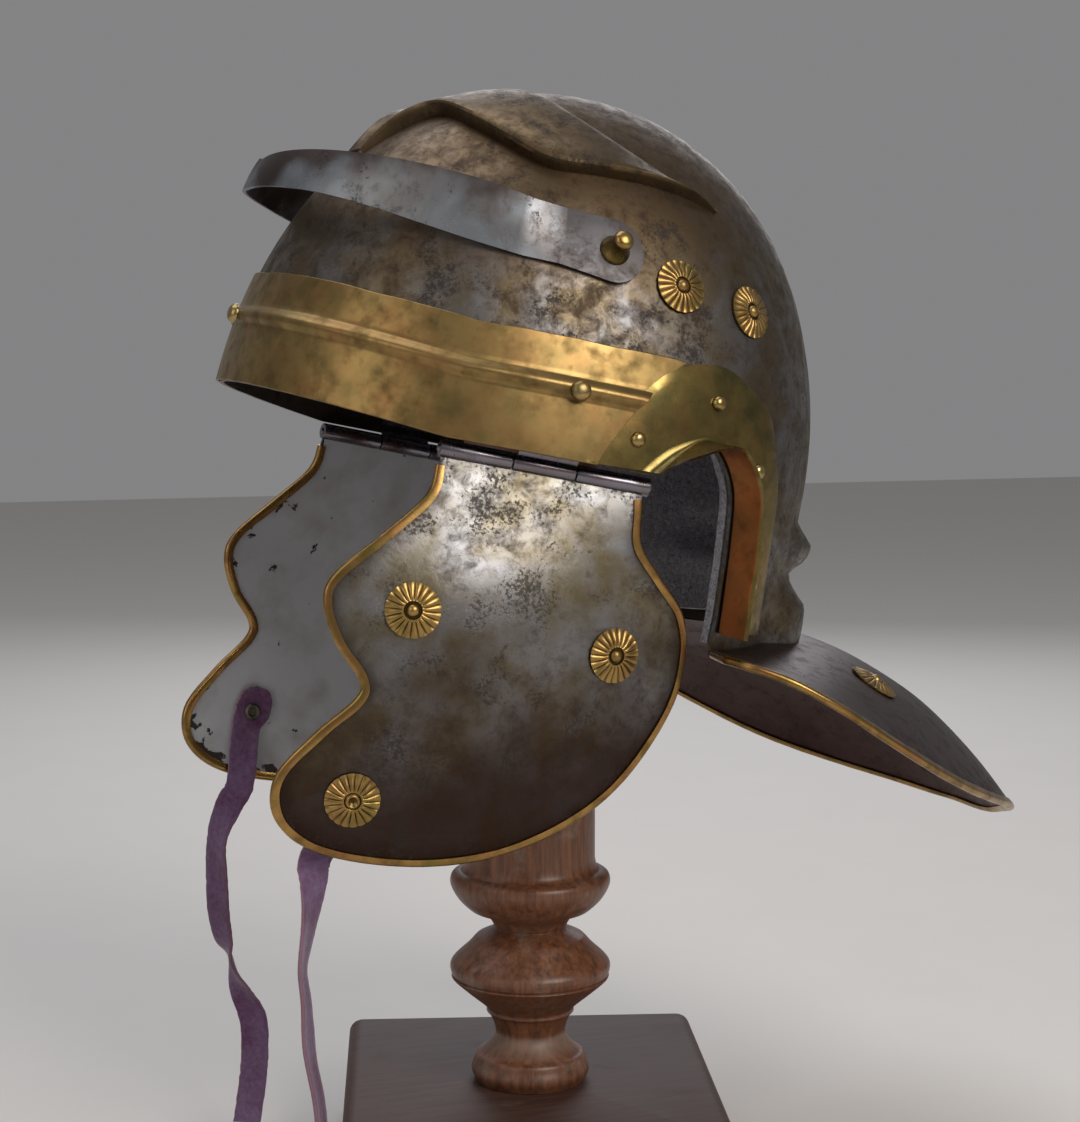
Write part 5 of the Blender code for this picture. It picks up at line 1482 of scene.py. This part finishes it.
@dataclass
class CheekPiece:
    """A bulging cheek piece with a brass edging and three rosettes."""

    hinge: Hinge
    side: Side
    length: float = 0.149
    width: float = 0.136
    thickness: float = 0.0015
    bulge: float = 0.0105
    lean: float = 0.026
    crown_x: float = 0.075
    edge_x: Curve = (
        -0.274, -0.282, -0.368, -0.462, -0.471, -0.418, -0.340, -0.336, -0.412, -0.476, -0.434, -0.290, -0.035,
        0.200, 0.398, 0.510, 0.522, 0.478, 0.370, 0.290, 0.266,
    )
    edge_depth: Curve = (
        0.030, 0.115, 0.223, 0.333, 0.403, 0.490, 0.564, 0.616, 0.715, 0.832, 0.934, 0.990, 0.984, 0.910, 0.757,
        0.550, 0.405, 0.296, 0.212, 0.141, 0.050,
    )
    edging_top: float = 0.0048
    bulge_depth: Curve = (0.00, 0.13, 0.30, 0.46, 0.67, 0.85, 0.97, 1.10)
    bulge_out: Curve = (0.00, 0.38, 0.83, 1.00, 0.86, 0.42, 0.00, -0.60)
    bulge_curl: Curve = (0.00, 0.40, 0.95, 1.12, 0.95, 0.62, 0.48, 0.45)
    grid_shares: Curve = (
        0.0, 0.1, 0.2, 0.3, 0.4, 0.5, 0.58, 0.66, 0.73, 0.79, 0.84, 0.88, 0.915, 0.94, 0.965, 0.985, 1.0,
    )
    rosettes: tuple[tuple[str, float, float], ...] = (
        ("upper", -0.262, 0.385), ("rear", 0.298, 0.412), ("lower", -0.278, 0.850),
    )
    thong_at: tuple[float, float] = (-0.272, 0.820)

    def surface(self, x: float, depth: float) -> Vector:
        """The outer face: x from the hinge's middle, depth below its axis."""
        a, b = self.hinge.ends(Side.RIGHT)
        t = x / self.hinge.length + 0.5
        skew = (b.y - a.y) * (t - 0.5) * (1 - smooth(depth, 0, 0.35 * self.length))
        d = depth / self.length
        across = (x - self.crown_x * self.width) / (self.width / 2)
        out = read_curve(self.bulge_depth, self.bulge_out, d)
        out -= read_curve(self.bulge_depth, self.bulge_curl, d) * across**2
        y = (a.y + b.y) / 2 + skew + self.thickness / 2 + self.bulge * out - self.lean * depth
        dent = uneven(Vector((x, depth, 0)), 0.028, 0.0005, 1.5) * smooth(depth, 0.01, 0.03)
        return Vector((x + self.hinge.centre_x, self.side.value * (y + dent), a.z + (b.z - a.z) * t - depth))

    def normal(self, x: float, depth: float) -> Vector:
        """The outward normal of the outer face."""
        step = 4 * STEP
        fore = self.surface(x + step, depth) - self.surface(x - step, depth)
        down = self.surface(x, depth + step) - self.surface(x, max(depth - step, 0))
        normal = fore.cross(down).normalized()
        return normal if normal.y * self.side.value > 0 else -normal

    def spot(self, at: tuple[float, float]) -> tuple[float, float]:
        """A place on the plate from its shares of the width and the length."""
        return at[0] * self.width, at[1] * self.length

    def outline(self) -> list[Vector]:
        """The free edge as (x, depth)."""
        return spline([(*self.spot(at), 0) for at in zip(self.edge_x, self.edge_depth)], 8)

    def plate(self) -> tuple[Mesh, list[float]]:
        """The plate, outer face first, and how near its edge each vertex lies."""
        edge = self.outline()
        top = [Vector((edge[-1].x + (edge[0].x - edge[-1].x) * k / 24, 0.0, 0.0)) for k in range(25)]
        middle = Vector((0.02 * self.width, 0.52 * self.length, 0))
        outer, inner = [], []
        marks: list[float] = []
        for t in self.grid_shares:
            row = [middle.lerp(p, t) for p in edge + top]
            outer.append([self.surface(p.x, p.y) for p in row])
            inner.append([f - self.thickness * self.normal(p.x, p.y) for f, p in zip(outer[-1], row)])
            near = [smooth(t, 0.86, 1.0)] * len(edge) + [0.0] * len(top)
            marks += near if t else near[:1]
        return wall(outer, inner, wrap=True, inner_slot=1), marks * 2

    def build(self, maker: Maker) -> None:
        """Make the plate, its edging and its rosettes."""
        body = self.side.cheek
        mesh_bm, marks = self.plate()
        node = f"cheek_plate_{self.side.word}"
        # The rim mark darkens the iron along the edge with dirt and painted shade, and chips the paint inside
        maker.piece(f"{node}_skin", mesh_bm, Finish.CHEEK, Finish.PAINT, node=node, body=body, marks={"rim": marks})
        edge = self.outline()[1:]
        edge.append(Vector((edge[-1].x * 0.985, self.edging_top, 0.0)))
        normals = [self.normal(p.x, p.y) for p in edge]
        points = [self.surface(p.x, p.y) - n * self.thickness / 2 for p, n in zip(edge, normals)]
        spans = zip([points[0], *points], [*points[1:], points[-1]])
        outs = [(b - a).cross(n).normalized() * -self.side.value for (a, b), n in zip(spans, normals)]
        node = f"cheek_edging_{self.side.word}"
        strip = Edging(self.thickness).mesh(points, outs, normals)
        maker.piece(f"{node}_strip", strip, Finish.EDGING, node=node, body=body, angle=60)
        for name, *at in self.rosettes:
            x, depth = self.spot(at)
            normal = self.normal(x, depth)
            place = seat(self.surface(x, depth) + normal * SEAT, normal)
            Rosette(eyelet=name == "lower").build(maker, f"cheek_rosette_{self.side.word}_{name}", place, body)


@dataclass
class Thong:
    """A flat suede thong, held inside a cheek piece by a pressed iron eyelet and hanging free below it."""

    cheek: CheekPiece
    run: tuple[tuple[float, float, float, float], ...]
    width: float = 0.0115
    thickness: float = 0.0014
    cuts: int = 9
    across: Curve = (-1.0, -0.93, -0.6, -0.2, 0.2, 0.6, 0.93, 1.0)
    tab_shifts: Curve = (0.0017, 0.0015, 0.001, 0.0, -0.0012)
    tab_drops: Curve = (-0.0105, -0.009, -0.006, 0.0, 0.008)
    tab_widths: Curve = (0.45, 0.9, 1.25, 1.38, 1.05)
    eyelet_radius: float = 0.0034
    eyelet_height: float = 0.0012
    eyelet_radii: Curve = (0, 1.0, 1.02, 0.92, 0.76, 0.6, 0.48, 0.42, 0.0)
    eyelet_heights: Curve = (0.0, 0.0, 0.3, 0.75, 1.0, 0.9, 0.5, 0.1, 0.08)

    def sections(self, pose: Pose) -> list[tuple[Vector, Vector, float]]:
        """Middle point, width direction and width share of each section, in the model's frame."""
        cheek, sign = self.cheek, self.cheek.side.value
        x, depth = cheek.spot(cheek.thong_at)
        off = cheek.thickness + GAP + self.thickness / 2
        rows = []
        for shift, drop in zip(self.tab_shifts, self.tab_drops):
            face = cheek.normal(x + shift, depth + drop)
            across = Vector((1, 0, 0.1))
            across = pose.matrix.to_3x3() @ (across - face * across.dot(face)).normalized()
            point = pose.matrix @ (cheek.surface(x + shift, depth + drop) - face * off)
            rows.append((*point, math.degrees(math.atan2(-across.y * sign, across.x))))
        at = rows[self.tab_drops.index(0.0)]
        rows += [(at[0] + dx, at[1] - sign * inward, at[2] + dz, turn) for dx, inward, dz, turn in self.run]
        widths = [*self.tab_widths, *[1.0] * len(self.run)]
        curve = spline(rows, self.cuts)
        found = []
        for k, row in enumerate(curve):
            angle = math.radians(row[3]) * -sign
            wide = float(np.interp(k / (len(curve) - 1) * (len(widths) - 1), range(len(widths)), widths))
            found.append((Vector(row[:3]), Vector((math.cos(angle), math.sin(angle), 0)), wide))
        return found

    def mesh(self, rows: list[tuple[Vector, Vector, float]]) -> tuple[Mesh, list[float]]:
        """The thong's mesh, and how near a cut edge each vertex lies."""
        bm = bmesh.new()
        centres = [row[0] for row in rows]
        rings = []
        marks: list[float] = []
        for k, (point, across, wide) in enumerate(rows):
            along = (centres[min(k + 1, len(rows) - 1)] - centres[max(k - 1, 0)]).normalized()
            across = (across - along * across.dot(along)).normalized()
            face = along.cross(across).normalized()
            rings.append([])
            for layer, u in ((layer, layer * u) for layer in (-1, 1) for u in self.across):
                ragged = noise.noise(Vector((point.z / 0.0016, math.copysign(3.0, u), 0.0))) * (abs(u) > 0.9)
                half = self.width * wide / 2 * (1 + 0.07 * ragged)
                thick = self.thickness / 2 * (0.55 if abs(u) == 1.0 else 1.0)
                cup = 0.0009 * (u * u - 0.4)
                lift = layer * thick + cup + uneven(point, 0.012, 0.0006, 3.0)
                rings[-1].append(bm.verts.new(point + across * half * u + face * lift))
                marks.append(0.75 if abs(u) == 1.0 else 0.0)
        skin(bm, rings, True)
        for end in (rings[0], rings[-1]):
            bm.faces.new(end)
        return bm, marks

    def build(self, maker: Maker) -> None:
        rows = self.sections(maker.pose)
        mesh_bm, marks = self.mesh(rows)
        side = self.cheek.side
        node = f"chin_thong_{side.word}"
        obj = maker.piece(
            f"{node}_suede", mesh_bm, Finish.THONG, node=node, body=side.cheek, on_stand=True, angle=70,
            marks={"rim": marks},
        )

    def build_eyelet(self, maker: Maker) -> None:
        """Make the eyelet that holds the thong."""
        cheek = self.cheek
        x, depth = cheek.spot(cheek.thong_at)
        inward = -cheek.normal(x, depth)
        point = cheek.surface(x, depth) + inward * (cheek.thickness + GAP + self.thickness + SEAT)
        pairs = zip(self.eyelet_radii, self.eyelet_heights)
        ring = turned([(r * self.eyelet_radius, h * self.eyelet_height) for r, h in pairs], 32)
        node = f"thong_eyelet_{cheek.side.word}"
        maker.piece(
            f"{node}_ring", ring, Finish.EYELET, node=node, body=cheek.side.cheek, place=seat(point, inward)
        )


@dataclass
class Stand:
    """The turned post on its board."""

    bowl: BowlForm
    board_thickness: float = 0.040
    board_width: float = 0.150
    board_depth: float = 0.165
    board_turn: float = math.radians(-16.65)
    rear_share: float = 0.515
    corner: float = 0.006
    top_round: float = 0.005
    post_radius: float = 0.0323
    turned_height: float = 0.088
    neck_radius: float = 0.026
    pad_radius: float = 0.036
    pad_below_crown: float = 0.056
    post_sides: int = 96
    heights: Curve = (
        0.000, 0.045, 0.090, 0.120, 0.140, 0.215, 0.300, 0.318, 0.345, 0.420, 0.478, 0.490, 0.502, 0.550, 0.620,
        0.660, 0.672, 0.705, 0.720, 0.760, 0.788, 0.800, 0.850, 0.910, 0.950, 0.968, 0.978,
    )
    radii: Curve = (
        0.680, 0.735, 0.700, 0.670, 0.585, 0.435, 0.500, 0.545, 0.560, 0.800, 0.975, 0.960, 0.985, 0.985, 0.790,
        0.690, 0.640, 0.450, 0.455, 0.530, 0.690, 0.760, 0.900, 0.990, 0.985, 0.930, 0.850,
    )

    def board(self) -> Mesh:
        """The board, with rounded corners and a rounded upper edge."""
        high = self.board_thickness
        bm = bmesh.new()
        size = Matrix.Diagonal((self.board_width, self.board_depth, high, 1))
        front = (self.rear_share - 0.5) * self.board_depth
        bmesh.ops.create_cube(bm, size=1, matrix=Matrix.Translation((0, front, high / 2)) @ size)
        upright = [e for e in bm.edges if abs(e.verts[0].co.z - e.verts[1].co.z) > high / 2]
        bmesh.ops.bevel(bm, geom=upright, offset=self.corner, segments=6, affect="EDGES", profile=0.5)
        top = [e for e in bm.edges if min(v.co.z for v in e.verts) > high * 0.99]
        bmesh.ops.bevel(bm, geom=top, offset=self.top_round, segments=5, affect="EDGES", profile=0.5)
        return bm

    def build(self, maker: Maker) -> None:
        """Make the board and the post."""
        turn = Matrix.Rotation(self.board_turn, 4, "Z")
        maker.piece(
            "board", self.board(), Finish.BOARD, node="stand_board", place=turn, on_stand=True, angle=50, bevel=0.0008
        )
        floor = self.board_thickness + SEAT
        points = [(r * self.post_radius, floor + h * self.turned_height, 0) for r, h in zip(self.radii, self.heights)]
        neck, slim, pad = floor + self.turned_height, self.neck_radius, self.pad_radius
        foot = (maker.pose.matrix @ Vector((0, 0, self.bowl.height))).z - self.pad_below_crown
        profile = [(0.0, floor), *((p.x, p.y) for p in spline(points, 5)), (slim * 1.02, neck), (slim, neck + 0.003)]
        profile += [(slim, foot - 0.012), (pad - 0.002, foot), (pad, foot + 0.004)]
        profile += [(radius, foot + 0.012) for radius in (pad, 0.0)]
        radii = [radius for radius, _ in profile]
        marks = []
        for k, radius in enumerate(radii):
            # Dust lies in the grooves of the turned part
            groove = smooth(max(radii[max(k - 4, 0) : k + 5]) - radius, 0.001, 0.006) * (3 < k < len(points))
            marks += [groove * 0.5] * (1 if radius < POLE else self.post_sides)
        maker.piece(
            "post", turned(profile, self.post_sides), Finish.POST, node="stand_post", on_stand=True, angle=50,
            marks={"recess": marks},
        )


# The studio


@dataclass
class Studio:
    """Camera, floor and soft light."""

    camera_at: tuple[float, float, float] = (-0.2954, -0.8164, 0.3353)
    look_at: tuple[float, float, float] = (0.0125, 0.0226, 0.2477)
    light_at: tuple[float, float, float] = (0.0, 0.0, 0.27)
    lens_mm: float = 70.6
    floor_size: float = 8.0
    softboxes: tuple[tuple[str, tuple[float, float, float], tuple[float, float], float, str], ...] = (
        ("key softbox", (0.40, -1.25, 1.05), (0.8, 0.8), 15.0, "#fff8f0"),
        ("front softbox", (-1.3, -0.7, 0.9), (0.9, 1.2), 4.0, "#fff6ec"),
        ("top softbox", (-0.2, 0.3, 1.6), (1.2, 1.2), 9.0, "#f6f8ff"),
        ("back softbox", (0.6, 1.3, 0.9), (1.0, 0.8), 5.0, "#f6f8ff"),
    )
    air: str = "#dcdcde"
    air_strength: float = 0.32

    def aim(self, data: bpy.types.ID, at: Sequence[float], look_at: Sequence[float]) -> bpy.types.Object:
        """Put a camera or a light at a place and turn it to another."""
        obj = bpy.data.objects.new(data.name, data)
        obj.location = at
        obj.rotation_euler = (Vector(look_at) - Vector(at)).to_track_quat("-Z", "Y").to_euler()
        bpy.context.scene.collection.objects.link(obj)
        return obj

    def camera(self) -> None:
        """Make the camera at the photograph's angle."""
        data = bpy.data.cameras.new("camera")
        data.sensor_width = 36
        data.lens = self.lens_mm
        data.clip_start = 0.01
        data.clip_end = 50
        bpy.context.scene.camera = self.aim(data, self.camera_at, self.look_at)

    def build(self) -> None:
        """Make the floor and the lights."""
        half = self.floor_size / 2
        bm = bmesh.new()
        bm.faces.new([bm.verts.new((x * half, y * half, 0)) for x, y in ((-1, -1), (1, -1), (1, 1), (-1, 1))])
        mesh = bpy.data.meshes.new("floor")
        bm.to_mesh(mesh)
        bm.free()
        mesh.materials.append(PaleFloor().make())
        floor = bpy.data.objects.new("floor", mesh)
        bpy.context.scene.collection.objects.link(floor)
        for name, at, size, watts, code in self.softboxes:
            data = bpy.data.lights.new(name, "AREA")
            data.shape = "RECTANGLE"
            data.size, data.size_y = size
            data.energy = watts
            data.color = linear(code)[:3]
            self.aim(data, at, self.light_at)
        world = bpy.data.worlds.new("studio")
        world.use_nodes = True
        feed(world.node_tree.nodes["Background"], {"Color": linear(self.air), "Strength": self.air_strength})
        bpy.context.scene.world = world
        bpy.context.scene.view_settings.view_transform = "Standard"


# Each thong's free run from its eyelet: offsets in metres along the stand's axes (y inwards), and the turn of its
# flat side in degrees
THONG_RUNS = {
    Side.RIGHT: (
        (-0.0075, 0.0100, -0.028, 10), (-0.0120, 0.0108, -0.036, 25), (-0.0172, 0.0110, -0.050, 60),
        (-0.0178, 0.0108, -0.064, 55), (-0.0172, 0.0104, -0.080, 52), (-0.0150, 0.0100, -0.094, 64),
        (-0.0125, 0.0098, -0.103, 100), (-0.0085, 0.0096, -0.116, 52), (-0.0034, 0.0096, -0.128, 20),
        (-0.0028, 0.0098, -0.141, 5), (-0.0040, 0.0100, -0.156, 10), (-0.0066, 0.0100, -0.1735, 15),
    ),
    Side.LEFT: (
        (-0.0125, 0.0100, -0.026, -10), (-0.0136, 0.0106, -0.036, 22), (-0.0150, 0.0108, -0.048, 46),
        (-0.0172, 0.0106, -0.060, 58), (-0.0180, 0.0102, -0.070, 66), (-0.0172, 0.0100, -0.081, 62),
        (-0.0165, 0.0100, -0.093, 58), (-0.0146, 0.0102, -0.105, 62), (-0.0122, 0.0104, -0.120, 60),
        (-0.0115, 0.0104, -0.137, 62), (-0.0125, 0.0102, -0.155, 66), (-0.0140, 0.0100, -0.1735, 72),
    ),
}


def main() -> None:
    """Build the whole scene."""
    logging.basicConfig(level=logging.INFO, format="%(name)s: %(message)s")
    studio = Studio()
    studio.camera()
    maker = Maker(Pose())
    form = BowlForm()
    ear, guard, hinge = EarForm(form), GuardForm(form), Hinge(form)
    thongs = [Thong(CheekPiece(hinge, side), THONG_RUNS[side]) for side in Side]
    for thong in thongs:
        thong.build(maker)
    bowl = SkullBowl(form, ear, guard)
    upper = (bowl, Lining(bowl), NeckGuard(guard, ear), BrowBand(bowl), Peak(form), EarGuard(form, ear))
    for part in (*upper, SkullRosettes(form), hinge):
        part.build(maker)
    for thong in thongs:
        thong.cheek.build(maker)
        thong.build_eyelet(maker)
    Stand(form).build(maker)
    studio.build()
    LOG.info("%d pieces made", len(maker.made))


if __name__ == "__main__":
    main()
